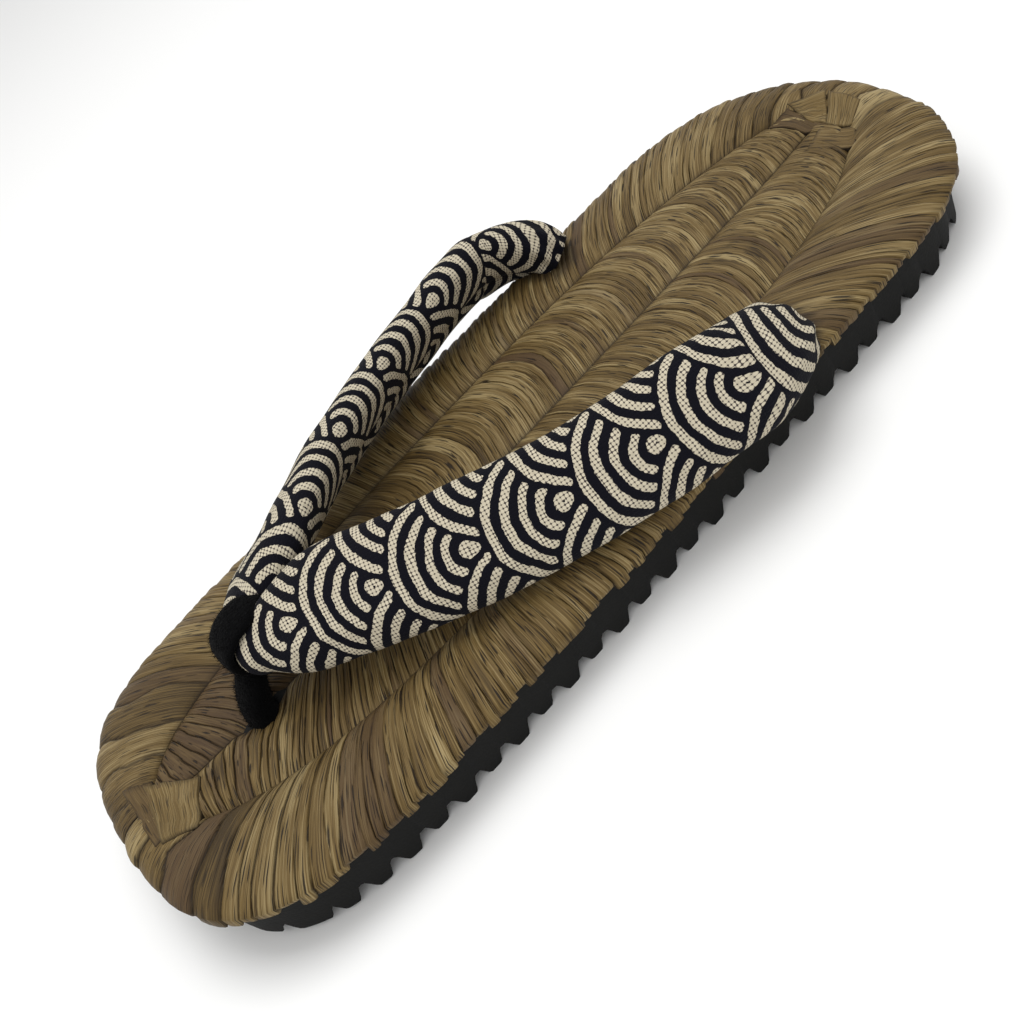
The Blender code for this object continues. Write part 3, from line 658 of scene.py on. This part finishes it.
def entry_painted_shadow(point):
    """Painted contact shadow round the slit that an arm of the strap goes down into."""
    x, y, wide, long = (value * MM for value in ENTRY_SHADOW)
    away = math.hypot((abs(point.x) - x) / wide, (point.y - y) / long)
    return 0.7 * (1 - smooth_step(1.0, 1.15, away))


def crease_painted_shade(across):
    """Painted shade in the creases that a zone starts and ends in."""
    if across <= 0.0:
        return 0.75
    return 0.3 if across < 0.02 else 0.0


def make_rim(builder, side, seed, lift, accents):
    """Rim of one side: strips from the oval crease over the roll to the edge,
    their cut ends hanging in steps."""
    dice = random.Random(seed)
    length = (CREASE.lengths[-1] + EDGE.lengths[-1]) / 2
    edges = strip_edges(RIM_STRIPS[side], length, dice)
    looks = strip_looks(edges, length, dice, lift, 0.16, accents)

    def place(share, column, height, look):
        across = RIM_COLUMNS[column]
        slant = RIM_SLANT * math.sin(math.pi * share) * (0.5 + share)
        inner = CREASE.at(share)
        outer = EDGE.at(share + slant * (1 - (1 - held(across)) ** 2))
        point = inner.lerp(outer, min(across, 1.0))
        fade = smooth_step(-0.04, 0.13, across)
        if across <= 1.0:
            crowns = table_value(RIM_SECTION, across)
            z = CREASE_HEIGHT + crowns * RIM_CROWN + height * (0.25 + 0.75 * fade)
            out = (height + 0.2 * MM) * smooth_step(0.6, 1.0, across)
        else:
            hang = look["hang"] * (1 - 0.5 * smooth_step(0.55, 0.8, share))
            low = MAT_BOTTOM + (0.9 - 1.5 * hang) * MM
            high = CREASE_HEIGHT - 0.42 * RIM_CROWN
            drop = (across - 1.0) / 0.12
            z = high + (low - high) * drop
            out = height + (0.2 + 0.7 * hang * drop - 0.5 * drop) * MM
        spine = Vector((0.0, min(max(point.y, -0.27 * MAT_LENGTH), 0.31 * MAT_LENGTH), 0.0))
        point = point + (point - spine).normalized() * out
        return Vector((side * point.x, point.y, z + rise(point.y)))

    weave_zone(builder, place, RIM_COLUMNS, edges, looks, length, RIM_LAID_OUT, seed)


def band_shift(y, across):
    """Shift of a strip towards the heel: chevrons at the toe, arcs behind."""
    thong = along(THONG_SHARE)
    grow = smooth_step(CREASE_FRONT, thong, y)
    fade = 1 - smooth_step(thong, thong + MAT_LENGTH / 5, y)
    end = 1 - smooth_step(CREASE_BACK - MAT_LENGTH / 8, CREASE_BACK, y)
    chevron = TOE_CHEVRON * grow * fade * (1 - across)
    arc = BAND_ARC * end * grow * (1 - fade) * math.sin(math.pi * held(across))
    return chevron + arc


def make_band(builder, side, seed, lift, accents):
    """Band between the middle crease and one side's crease."""
    dice = random.Random(seed)
    length = CREASE_BACK - CREASE_FRONT
    edges = strip_edges(BAND_STRIPS, length, dice)
    looks = strip_looks(edges, length, dice, lift, 0.12, accents)

    def place(share, column, height, look):
        across = BAND_COLUMNS[column]
        y = CREASE_FRONT + share * length
        x = across * crease_half_width(y)
        y += band_shift(y, across)
        fade = smooth_step(-0.03, 0.14, across) * (1 - smooth_step(0.88, 1.04, across))
        z = CREASE_HEIGHT + table_value(BAND_SECTION, across) * BAND_CROWN
        z += height * (0.25 + 0.75 * fade)
        # a hollow round the foot of the thong
        wide, long, deep = THONG_HOLLOW
        away = math.hypot(x / wide, (y - along(THONG_SHARE)) / long)
        z -= deep * (1 - smooth_step(0.8, 1.5, away))
        return Vector((side * x, y, z + rise(y)))

    width = CREASE_HALF_SHARE * HALF_WIDTH
    weave_zone(builder, place, BAND_COLUMNS, edges, looks, length, width, seed)


def spline(values, t):
    """Catmull-Rom value at t in 0..1 over equally spaced values."""
    last = len(values) - 1
    spot = held(t) * last
    i = min(int(spot), last - 1)
    f = spot - i
    before, a, b, after = values[max(i - 1, 0)], values[i], values[i + 1], values[min(i + 2, last)]
    return eased(f, a, b, (b - before) / 2, (after - a) / 2)


def arm_places(tail):
    """Middle line of an arm and the direction of its width at every row."""
    places, axes = [], []
    for across, share, arches, _, _, tilt, heading in STRAP_ARM:
        late = smooth_step(0.45, 0.66, share)
        y = along(share + tail[0] * late)
        z = CREASE_HEIGHT + (arches + tail[1] * late) * STRAP_ARCH + rise(y)
        places.append(Vector((across * HALF_WIDTH, y, z)))
        lean, turn = math.radians(tilt), math.radians(heading)
        flat = math.cos(lean)
        axes.append(Vector((flat * math.cos(turn), flat * math.sin(turn), math.sin(lean))))
    return places, axes


def make_arm(builder, side):
    """One padded arm on a grid closed into a tube, with its cloth's own
    lengthwise and crosswise place in the UV map."""
    places, axes = arm_places(ARM_TAIL[side])
    fuller = ARM_TAIL[side][2]
    wides = [row[3] + fuller * smooth_step(0.60, 0.68, row[1]) for row in STRAP_ARM]
    wides = [wide * STRAP_WIDTH / 2 for wide in wides]
    thicks = [row[4] * STRAP_THICKNESS / 2 for row in STRAP_ARM]

    def vector_at(values, t):
        return Vector([spline([value[k] for value in values], t) for k in range(3)])

    rings, run = [], 0.0
    before = None
    for i in range(-DOME_RINGS, ARM_RINGS + 1):
        t = max(i, 0) / ARM_RINGS
        ahead, behind = vector_at(places, min(t + 0.01, 1.0)), vector_at(places, max(t - 0.01, 0.0))
        tangent = (ahead - behind).normalized()
        wide = vector_at(axes, t)
        wide = (wide - tangent * wide.dot(tangent)).normalized()
        thick = tangent.cross(wide).normalized()
        centre, size = vector_at(places, t), 1.0
        if i < 0:
            turn = math.pi / 2 * -i / DOME_RINGS
            centre -= tangent * math.sin(turn) * ARM_FRONT * STRAP_THICKNESS
            size = max(math.cos(turn), 0.02)
        if before is not None:
            run += (centre - before).length
        before = centre
        half_wide, half_thick = size * spline(wides, t), size * spline(thicks, t)
        gather = smooth_step(0.80, 1.0, t)
        ring, lengths = [], [0.0]
        for j in range(RING_POINTS + 1):
            angle = math.pi * (2 * j / RING_POINTS - 1)
            c, s = math.sin(angle), -math.cos(angle)
            out = Vector((c, s))
            x = math.copysign(abs(c) ** (2 / ARM_POWER), c) * half_wide
            y = math.copysign(abs(s) ** (2 / ARM_POWER), s) * half_thick
            turned = angle if j < RING_POINTS else -math.pi
            spot = (math.cos(turned) * 1.2, math.sin(turned) * 1.2, run / (11.0 * MM) + side * 9)
            puff = BULGE * noise.noise(Vector(spot)) * size
            puff += PLEAT * gather * math.cos(9 * turned + 1.5 * side)
            ridge = math.exp(-(((turned - 0.55) / 0.22) ** 2)) * smooth_step(0.06, 0.2, t)
            ridge *= 1 - gather
            uneven = 0.7 + 0.9 * noise.noise(Vector((run / (5.0 * MM), side * 3.0, 0.0)))
            puff += KINK * ridge * uneven
            seam = math.exp(-(((math.pi - abs(turned)) / 0.10) ** 2))
            puff -= SEAM * seam * size
            ring.append(centre + wide * (x + out.x * puff) + thick * (y + out.y * puff))
            if j:
                lengths.append(lengths[-1] + (ring[j] - ring[j - 1]).length)
        middle = lengths[RING_POINTS // 2]
        rings.append((ring, [value - middle for value in lengths], run))
    count = len(rings) - 1
    front_run = rings[DOME_RINGS][2]
    start, across, drawn_out = ARM_CLOTH[side]
    cells = number_grid(builder, RING_POINTS, count)
    uv = builder.loops.layers.uv["cloth"]
    for face in faces_on(cells):
        for loop in face.loops:
            j, i = cells[loop.vert]
            loop[uv].uv = (
                side * (rings[i][2] - front_run) * drawn_out + start * MM,
                side * rings[i][1][j] + across * MM,
            )
    hem = builder.verts.layers.float["hem"]
    for vert, (j, i) in cells.items():
        point = rings[i][0][j]
        vert.co = Vector((side * point.x, point.y, point.z))
        vert[hem] = HEM_ROWS.get(i, 0.0)
    bmesh.ops.remove_doubles(builder, verts=list(cells), dist=0.02 * MM)
    open_edges = [e for e in builder.edges if e.is_boundary]
    bmesh.ops.holes_fill(builder, edges=open_edges, sides=0)


# Cotton cloth, woven coarse and printed navy round cream bars of a wave
# pattern: dull, with dark pinholes between the threads of the cream.
def cloth_material(settings):
    item, tree = start_material(
        "cotton_cloth", Roughness=0.9, Specular_IOR_Level=0.1, Sheen_Weight=0.02, Sheen_Roughness=0.6
    )
    uv = node(tree, "ShaderNodeUVMap", {}, uv_map="cloth")

    # the print's edges waver
    drawn = uv
    stages = []
    for size, reach in PRINT_WAVER:
        cloud = node(tree, NOISE, {"Vector": uv, "Scale": 1 / (size * MM), "Detail": 1.0}, 1)
        swing = node(tree, VECTOR_MATH, {0: cloud, 1: (0.5, 0.5, 0.5)}, operation="SUBTRACT")
        width = (2 * reach * MM, 2 * reach * MM, 0.0)
        swing = node(tree, VECTOR_MATH, {0: swing, 1: width}, operation="MULTIPLY")
        drawn = node(tree, VECTOR_MATH, {0: drawn, 1: swing}, operation="ADD")
        stages.append(drawn)
    u = node(tree, "ShaderNodeSeparateXYZ", {"Vector": drawn})
    v = u.node.outputs["Y"]

    # circles stand in rows along u, every second row moved sideways
    radius, column = settings.wave_radius, settings.column_pitch
    bar, gap = settings.bar_width, settings.end_gap
    newest = u
    for operation, value in (("ADD", radius), ("DIVIDE", settings.row_pitch), ("FLOOR", 0.0)):
        newest = node(tree, MATH, {0: newest, 1: value}, operation=operation)
    circles = []
    for k in range(3, -2, -1):
        row = node(tree, MATH, {0: newest, 1: float(k)}, operation="SUBTRACT")
        centre = node(tree, MATH, {0: row, 1: settings.row_pitch}, operation="MULTIPLY")
        du = node(tree, MATH, {0: u, 1: centre}, operation="SUBTRACT")
        odd = node(tree, MATH, {0: row, 1: 2.0}, operation="FLOORED_MODULO")
        dv = node(tree, MATH, {0: odd, 1: column, 2: column}, operation="MULTIPLY_ADD")
        for operation, value in (("ADD", v), ("FLOORED_MODULO", 2 * column), ("SUBTRACT", column)):
            dv = node(tree, MATH, {0: dv, 1: value}, operation=operation)
        both = node(tree, "ShaderNodeCombineXYZ", {"X": du, "Y": dv})
        distance = node(tree, VECTOR_MATH, {0: both}, "Value", operation="LENGTH")
        # a bar also ends half way to the next circle of its own row
        side = node(tree, MATH, {0: dv}, operation="ABSOLUTE")
        side = node(tree, MATH, {0: column + gap / 2, 1: side}, operation="SUBTRACT")
        circles.append((distance, side))
    # from the hindmost row to the foremost, each covers the ones before
    reach, clear = circles[0]
    for distance, side in circles[1:]:
        inside = node(tree, MATH, {0: distance, 1: radius}, operation="LESS_THAN")
        outside_by = node(tree, MATH, {0: distance, 1: radius}, operation="SUBTRACT")
        near = node(tree, MATH, {0: clear, 1: outside_by}, operation="MINIMUM")
        reach = node(tree, MIX, {0: inside, 2: reach, 3: distance})
        clear = node(tree, MIX, {0: inside, 2: near, 3: side})
    off_bar = node(tree, MATH, {0: radius, 1: reach}, operation="SUBTRACT")
    pitch = settings.ring_pitch
    for operation, value in (("FLOORED_MODULO", pitch), ("SUBTRACT", bar / 2), ("ABSOLUTE", 0.0)):
        off_bar = node(tree, MATH, {0: off_bar, 1: value}, operation=operation)
    # distance out of a bar with round ends
    turn = 0.48 * bar
    aside = node(tree, MATH, {0: off_bar, 1: turn - bar / 2}, operation="ADD")
    ahead = node(tree, MATH, {0: gap + turn, 1: clear}, operation="SUBTRACT")
    aside = node(tree, MATH, {0: aside, 1: 0.0}, operation="MAXIMUM")
    ahead = node(tree, MATH, {0: ahead, 1: 0.0}, operation="MAXIMUM")
    both = node(tree, "ShaderNodeCombineXYZ", {"X": aside, "Y": ahead})
    outside = node(tree, VECTOR_MATH, {0: both}, "Value", operation="LENGTH")
    cream = node(tree, MATH, {0: outside, 1: turn}, operation="LESS_THAN")

    # plain weave: a pinhole at every crossing of the gaps between threads,
    # which wander a little with the print
    pulled = node(tree, MIX, {0: 0.45, 4: uv, 5: stages[0]}, 1, data_type="VECTOR")
    turned = node(
        tree, "ShaderNodeVectorRotate", {"Vector": pulled, "Angle": math.radians(4.0)},
        rotation_type="Z_AXIS",
    )
    axes = node(tree, "ShaderNodeSeparateXYZ", {"Vector": turned}).node.outputs
    waves = []
    turns = math.pi / settings.thread_pitch
    for axis in ("X", "Y"):
        wave = node(tree, MATH, {0: axes[axis], 1: turns}, operation="MULTIPLY")
        wave = node(tree, MATH, {0: wave}, operation="SINE")
        waves.append(node(tree, MATH, {0: wave}, operation="ABSOLUTE"))
    holes = node(tree, MATH, {0: waves[0], 1: waves[1]}, operation="ADD")
    between = node(tree, MATH, {0: waves[0], 1: waves[1]}, operation="MINIMUM")
    between = node(tree, MATH, {0: 0.3, 1: between}, operation="SUBTRACT", use_clamp=True)
    slubs = node(tree, NOISE, {"Vector": uv, "Scale": 1 / (1.6 * MM), "Detail": 2.0})
    wide = node(tree, MATH, {0: slubs, 1: 1.9, 2: 0.2}, operation="MULTIPLY_ADD")
    holes = node(tree, MATH, {0: wide, 1: holes}, operation="SUBTRACT")
    holes = node(tree, MATH, {0: holes, 1: 1.7, 2: between}, operation="MULTIPLY_ADD", use_clamp=True)
    dull, bright = (*settings.cream_dark, 1.0), (*settings.cream, 1.0)
    pale = node(tree, MIX, {0: slubs, 6: dull, 7: bright}, 2, data_type="RGBA")
    depth = node(tree, MATH, {0: holes, 1: 0.95}, operation="MULTIPLY")
    pale = node(tree, MIX, {0: depth, 6: pale, 7: (*linear("#2a2228"), 1.0)}, 2, data_type="RGBA")
    hem = node(tree, "ShaderNodeAttribute", {}, "Fac", attribute_name="hem", attribute_type="GEOMETRY")
    pale_hem = node(tree, MATH, {0: hem, 1: 0.45}, operation="GREATER_THAN")
    not_navy = node(tree, MATH, {0: hem, 1: -0.5}, operation="GREATER_THAN")
    cream = node(tree, MATH, {0: cream, 1: not_navy}, operation="MULTIPLY")
    cream = node(tree, MATH, {0: cream, 1: pale_hem}, operation="MAXIMUM")
    colour = node(tree, MIX, {0: cream, 6: (*settings.ground, 1.0), 7: pale}, 2, data_type="RGBA")
    sunk = node(tree, MATH, {0: holes, 1: -0.7}, operation="MULTIPLY")
    height = node(tree, MATH, {0: cream, 1: 0.35, 2: sunk}, operation="MULTIPLY_ADD")
    return finish_material(item, colour, height, 0.6, 0.3 * MM)


# Cotton velvet, cut pile: soaks up light, with a faint grey sheen at the rim.
def velvet_material(settings):
    item, tree = start_material(
        "velvet_black", Roughness=0.95, Specular_IOR_Level=0.05, Sheen_Weight=0.02, Sheen_Roughness=0.5
    )
    place = node(tree, "ShaderNodeTexCoord", {}, "Object")
    pile = node(tree, NOISE, {"Vector": place, "Scale": 1 / (0.7 * MM), "Detail": 3.0})
    dark = (*[0.4 * c for c in settings.colour], 1.0)
    shade = node(tree, MIX, {0: pile, 6: dark, 7: (*settings.colour, 1.0)}, 2, data_type="RGBA")
    return finish_material(item, shade, pile, 0.8, 0.5 * MM)


# EVA foam, moulded: matte near-black with closed pores.
def foam_material(settings):
    item, tree = start_material("eva_foam_black", Roughness=0.75, Specular_IOR_Level=0.2)
    place = node(tree, "ShaderNodeTexCoord", {}, "Object")
    pores = node(tree, "ShaderNodeTexVoronoi", {"Vector": place, "Scale": 1 / (0.7 * MM)})
    cloud = node(tree, NOISE, {"Vector": place, "Scale": 1 / (9.0 * MM), "Detail": 4.0})
    grains = node(tree, NOISE, {"Vector": place, "Scale": 1 / (0.5 * MM), "Detail": 2.0})
    mixed = node(tree, MATH, {0: cloud, 1: grains}, operation="MULTIPLY")
    lighter = (*[min(2.4 * c, 1.0) for c in settings.colour], 1.0)
    shade = node(tree, MIX, {0: mixed, 6: (*settings.colour, 1.0), 7: lighter}, 2, data_type="RGBA")
    return finish_material(item, shade, pores, 0.4, 0.12 * MM)


class MatSettings(bpy.types.PropertyGroup):
    light: bpy.props.FloatVectorProperty(
        name="Light sheath", description="Colour of the palest strips",
        default=linear("#9a8860"), subtype="COLOR",
    )
    middle: bpy.props.FloatVectorProperty(
        name="Sheath", description="Colour of most strips",
        default=linear("#69552f"), subtype="COLOR",
    )
    dark: bpy.props.FloatVectorProperty(
        name="Dark sheath", description="Colour of the darkest strips",
        default=linear("#3a2c14"), subtype="COLOR",
    )
    stain: bpy.props.FloatVectorProperty(
        name="Stain", description="Colour of the brown stains",
        default=linear("#483625"), subtype="COLOR",
    )
    fibre_contrast: bpy.props.FloatProperty(
        name="Fibre contrast", description="How strongly the fibres are drawn", default=1.9,
    )
    lift: bpy.props.FloatProperty(
        name="Strip lift", description="How far a strip stands above the next",
        default=0.45 * MM, unit="LENGTH",
    )


class StrapSettings(bpy.types.PropertyGroup):
    wave_radius: bpy.props.FloatProperty(
        name="Wave radius", description="Outer radius of one wave", default=17.3 * MM, unit="LENGTH",
    )
    row_pitch: bpy.props.FloatProperty(
        name="Row pitch", description="Distance between rows of waves", default=10.7 * MM, unit="LENGTH",
    )
    column_pitch: bpy.props.FloatProperty(
        name="Column pitch", description="Sideways shift of every second row",
        default=17.2 * MM, unit="LENGTH",
    )
    ring_pitch: bpy.props.FloatProperty(
        name="Ring pitch", description="Distance between the bars of a wave",
        default=3.8 * MM, unit="LENGTH",
    )
    bar_width: bpy.props.FloatProperty(
        name="Bar width", description="Width of a cream bar", default=1.87 * MM, unit="LENGTH",
    )
    end_gap: bpy.props.FloatProperty(
        name="End gap", description="Navy gap between a bar's end and the next wave",
        default=1.1 * MM, unit="LENGTH",
    )
    thread_pitch: bpy.props.FloatProperty(
        name="Thread pitch", description="Distance between the cloth's threads",
        default=0.85 * MM, unit="LENGTH",
    )
    ground: bpy.props.FloatVectorProperty(
        name="Ground", description="Colour of the printed ground",
        default=linear("#090912"), subtype="COLOR",
    )
    cream: bpy.props.FloatVectorProperty(
        name="Cream", description="Colour of the bars", default=linear("#dcd2ba"), subtype="COLOR",
    )
    cream_dark: bpy.props.FloatVectorProperty(
        name="Dark cream", description="Colour of the bars' darker threads",
        default=linear("#a39a86"), subtype="COLOR",
    )


class ThongSettings(bpy.types.PropertyGroup):
    colour: bpy.props.FloatVectorProperty(
        name="Velvet", description="Colour of the pile", default=linear("#060607"), subtype="COLOR",
    )
    pile: bpy.props.FloatProperty(
        name="Pile", description="Length of the loose fibres", default=0.9 * MM, unit="LENGTH",
    )
    fibres: bpy.props.IntProperty(
        name="Fibres", description="Number of loose fibres", default=4500,
    )


class SoleSettings(bpy.types.PropertyGroup):
    colour: bpy.props.FloatVectorProperty(
        name="Foam", description="Colour of the foam", default=linear("#0e0e0d"), subtype="COLOR",
    )


class StageSettings(bpy.types.PropertyGroup):
    floor: bpy.props.FloatVectorProperty(
        name="Floor", description="Colour of the floor", default=linear("#f1f1f0"), subtype="COLOR",
    )
    key: bpy.props.FloatProperty(
        name="Key light", description="Power of the large light in watts", default=5.4,
    )


def cad_copy(name):
    """A bmesh of a solid's surface with its loose triangles joined."""
    builder = bmesh.new()
    builder.from_mesh(frame["nodes"][name].data)
    bmesh.ops.remove_doubles(builder, verts=builder.verts, dist=0.005 * MM)
    for layer in list(builder.loops.layers.uv.values()):
        builder.loops.layers.uv.remove(layer)
    return builder


class ZORI_OT_mat(bpy.types.Operator):
    """Build the mat of folded strips"""

    bl_idname = "zori.mat"
    bl_label = "Woven mat"

    def execute(self, context):
        settings = context.scene.zori_mat
        builder = bmesh.new()
        builder.loops.layers.uv.new("fibre")
        builder.verts.layers.float_color.new("tone")
        # the strips ahead of the thong are stained brown on the -X side
        make_band(builder, -1, 11, settings.lift, ((0.0, 0.16, 0.36, 0.62),))
        make_band(builder, 1, 12, settings.lift, ())
        make_rim(builder, -1, 13, settings.lift, ((0.10, 0.15, 0.30, 0.55),))
        make_rim(builder, 1, 14, settings.lift, ((0.215, 0.235, 0.30, 0.45),))
        lay_patches(builder)
        bmesh.ops.recalc_face_normals(builder, faces=builder.faces)
        mat = finished("woven_mat", builder, sheath_material(settings))
        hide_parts("footbed")
        return {"FINISHED"}


class ZORI_OT_strap(bpy.types.Operator):
    """Build the padded strap"""

    bl_idname = "zori.strap"
    bl_label = "Padded strap"

    def execute(self, context):
        material = cloth_material(context.scene.zori_strap)
        for side, name in ((1, "strap_arm_right"), (-1, "strap_arm_left")):
            builder = bmesh.new()
            builder.loops.layers.uv.new("cloth")
            builder.verts.layers.float.new("hem")
            make_arm(builder, side)
            bmesh.ops.recalc_face_normals(builder, faces=builder.faces)
            arm = finished(name, builder, material)
            if side > 0:
                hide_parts("strap_upper")
        return {"FINISHED"}


class ZORI_OT_thong(bpy.types.Operator):
    """Build the velvet thong with its loose pile"""

    bl_idname = "zori.thong"
    bl_label = "Velvet thong"

    def execute(self, context):
        settings = context.scene.zori_thong
        builder = cad_copy("toe_thong")
        bmesh.ops.subdivide_edges(builder, edges=builder.edges, cuts=1, use_grid_fill=True)
        axes = {"use_axis_x": True, "use_axis_y": True, "use_axis_z": True}
        for _ in range(2):
            bmesh.ops.smooth_vert(builder, verts=builder.verts, factor=0.5, **axes)
        bmesh.ops.triangulate(builder, faces=builder.faces)
        dice = random.Random(5)
        faces = list(builder.faces)
        areas = [face.calc_area() for face in faces]
        roots = dice.choices(faces, areas, k=settings.fibres)
        # the fibres are made in small tufts, because each added cone slows the next
        tufts = []
        for first in range(0, len(roots), TUFT_FIBRES):
            tuft = bmesh.new()
            for face in roots[first : first + TUFT_FIBRES]:
                a, b, c = (vert.co for vert in face.verts)
                p, q = dice.random(), dice.random()
                if p + q > 1:
                    p, q = 1 - p, 1 - q
                root = a + (b - a) * p + (c - a) * q
                lean = Vector([dice.gauss(0.0, 0.55) for _ in range(3)])
                way = (face.normal + lean).normalized()
                long = settings.pile * dice.uniform(0.5, 1.3)
                turn = way.to_track_quat("Z", "Y").to_matrix().to_4x4()
                stand = Matrix.Translation(root + way * long * 0.35) @ turn
                bmesh.ops.create_cone(
                    tuft, cap_ends=True, segments=3, radius1=FIBRE_ROOT, radius2=FIBRE_TIP,
                    depth=long, matrix=stand,
                )
            tufts.append(mesh_of("tuft", tuft))
        for tuft in tufts:
            builder.from_mesh(tuft)
            bpy.data.meshes.remove(tuft)
        thong = finished("velvet_thong", builder, velvet_material(settings))
        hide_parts("toe_thong")
        return {"FINISHED"}


def sole_edge(y):
    """Half width of the sole, a little inside the mat's outline."""
    low = -MAT_LENGTH / 2 + SOLE_INSET
    return max(half_width(held((y - low) / (-2 * low))) - SOLE_INSET, 0.0)


def lug_drop(x, y, edge):
    """Share of the lug height missing at a place of the underside."""
    best = 1.0
    nearest = round((y - LUG_ROW_START) / LUG_PITCH)
    for n in (nearest - 1, nearest, nearest + 1):
        extra = TOE_PAD_EXTRA if n == TOE_PAD_ROW else 0.0
        off = abs(y - n * LUG_PITCH - LUG_ROW_START) - extra / 2
        at_edge = n % 2 == 1 or n < FIRST_SET_BACK_ROW
        count = LUGS_AT_EDGE if at_edge else LUGS_SET_BACK
        if edge < SINGLE_LUG_REACH:
            count = 1
        reach = edge + LUG_PAST_EDGE if at_edge else edge - LUG_SET_BACK
        width = (2 * reach - (count - 1) * LUG_SIDE_GAP) / count
        place = (x + reach) % (width + LUG_SIDE_GAP)
        aside = max(min(place - width, width + LUG_SIDE_GAP - place), 0.0)
        across = soft_step(0.0, 0.4 * LUG_SIDE_GAP, aside)
        if not at_edge:
            across = max(across, soft_step(0.0, 0.5 * MM, abs(x) - reach))
        lobe = soft_step(LUG_ROUND[0] * LUG_TIP_LENGTH, LUG_ROUND[1] * LUG_ROOT_LENGTH, off)
        best = min(best, max(lobe, across))
    return best


def sole_rows():
    """Y of the underside's rows, closer near the two ends."""
    end = MAT_LENGTH / 2 - SOLE_INSET
    near = [0.0, 0.05, 0.2, 0.5, 0.9, 1.4, 2.0]
    count = 2 * round((end - SOLE_END) / SOLE_ROW_STEP)
    inner = [(2 * i / count - 1) * (end - SOLE_END) for i in range(count + 1)]
    return [-end + n * MM for n in near] + inner + [end - n * MM for n in reversed(near)]


class ZORI_OT_sole(bpy.types.Operator):
    """Build the foam sole with its moulded lugs"""

    bl_idname = "zori.sole"
    bl_label = "Foam sole"

    def execute(self, context):
        settings = context.scene.zori_sole
        rows = sole_rows()
        builder = bmesh.new()
        cells = number_grid(builder, SOLE_COLUMNS, len(rows) - 1)
        for vert, (_, row) in cells.items():
            y = rows[row]
            edge = sole_edge(y)
            # columns are closer near the side, where the lobes are cut off
            across = math.copysign(1 - (1 - abs(vert.co.x)) ** 1.25, vert.co.x)
            x = across * edge
            vert.co = (x, y, LUG_HEIGHT * lug_drop(x, y, edge) + rise(y))
        close_sheet(builder, cells, lambda x, y: (x, y, SOLE_HEIGHT + rise(y)))
        bmesh.ops.remove_doubles(builder, verts=builder.verts, dist=0.01 * MM)
        bmesh.ops.recalc_face_normals(builder, faces=builder.faces)
        sole = finished("foam_sole", builder, foam_material(settings))
        creases = sole.modifiers.new("edges", "EDGE_SPLIT")
        creases.split_angle = math.radians(50)
        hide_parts("outsole")
        return {"FINISHED"}


class ZORI_OT_stage(bpy.types.Operator):
    """Add the floor, the lights and the camera"""

    bl_idname = "zori.stage"
    bl_label = "Stage"

    def execute(self, context):
        settings = context.scene.zori_stage
        scene = context.scene
        scene.view_settings.view_transform = "Standard"
        builder = bmesh.new()
        bmesh.ops.create_grid(builder, x_segments=1, y_segments=1, size=FLOOR_HALF_SIZE)
        mesh = mesh_of("floor", builder)
        paper, _ = start_material("paper_floor", Roughness=0.9, Base_Color=(*settings.floor, 1.0))
        mesh.materials.append(paper)
        floor = placed("floor", mesh)

        world = bpy.data.worlds.new("studio")
        world.use_nodes = True
        sky = world.node_tree.nodes["Background"].inputs
        sky["Color"].default_value = (1.0, 1.0, 1.0, 1.0)
        sky["Strength"].default_value = SKY_STRENGTH
        scene.world = world
        for name, place, size, share in LAMPS:
            data = bpy.data.lights.new(name, "AREA")
            data.size, data.energy = size, share * settings.key
            lamp = placed(name, data)
            lamp.location = place
            lamp.rotation_euler = Vector(place).to_track_quat("Z", "Y").to_euler()

        data = bpy.data.cameras.new("camera")
        data.lens, data.sensor_width = CAMERA_LENS, CAMERA_SENSOR
        data.clip_start = 0.01
        camera = placed("camera", data)
        back = CAMERA_RIGHT.cross(CAMERA_UP)
        turn = Matrix((CAMERA_RIGHT, CAMERA_UP, back)).transposed().to_4x4()
        camera.matrix_world = Matrix.Translation(CAMERA_PLACE) @ turn
        scene.camera = camera
        return {"FINISHED"}


STEPS = (ZORI_OT_mat, ZORI_OT_strap, ZORI_OT_thong, ZORI_OT_sole, ZORI_OT_stage)
GROUPS = (
    ("zori_mat", MatSettings), ("zori_strap", StrapSettings), ("zori_thong", ThongSettings),
    ("zori_sole", SoleSettings), ("zori_stage", StageSettings),
)


class ZORI_PT_looks(bpy.types.Panel):
    """Lists the sandal's pieces and their settings"""

    bl_label = "Zori sandal"
    bl_space_type = "VIEW_3D"
    bl_region_type = "UI"
    bl_category = "Zori"

    def draw(self, context):
        for (name, group), step in zip(GROUPS, STEPS):
            box = self.layout.box()
            box.operator(step.bl_idname)
            for key in group.__annotations__:
                box.prop(getattr(context.scene, name), key)


def register():
    for name, group in GROUPS:
        bpy.utils.register_class(group)
        setattr(bpy.types.Scene, name, bpy.props.PointerProperty(type=group))
    for item in (*STEPS, ZORI_PT_looks):
        bpy.utils.register_class(item)


def unregister():
    for item in reversed((*STEPS, ZORI_PT_looks)):
        bpy.utils.unregister_class(item)
    for name, group in reversed(GROUPS):
        delattr(bpy.types.Scene, name)
        bpy.utils.unregister_class(group)


def main():
    register()
    for item in list(bpy.data.objects):
        if item.type in ("LIGHT", "CAMERA") or item.name == "Cube":
            bpy.data.objects.remove(item)
    bpy.ops.zori.mat()
    bpy.ops.zori.strap()
    bpy.ops.zori.thong()
    bpy.ops.zori.sole()
    bpy.ops.zori.stage()


if __name__ == "__main__":
    main()
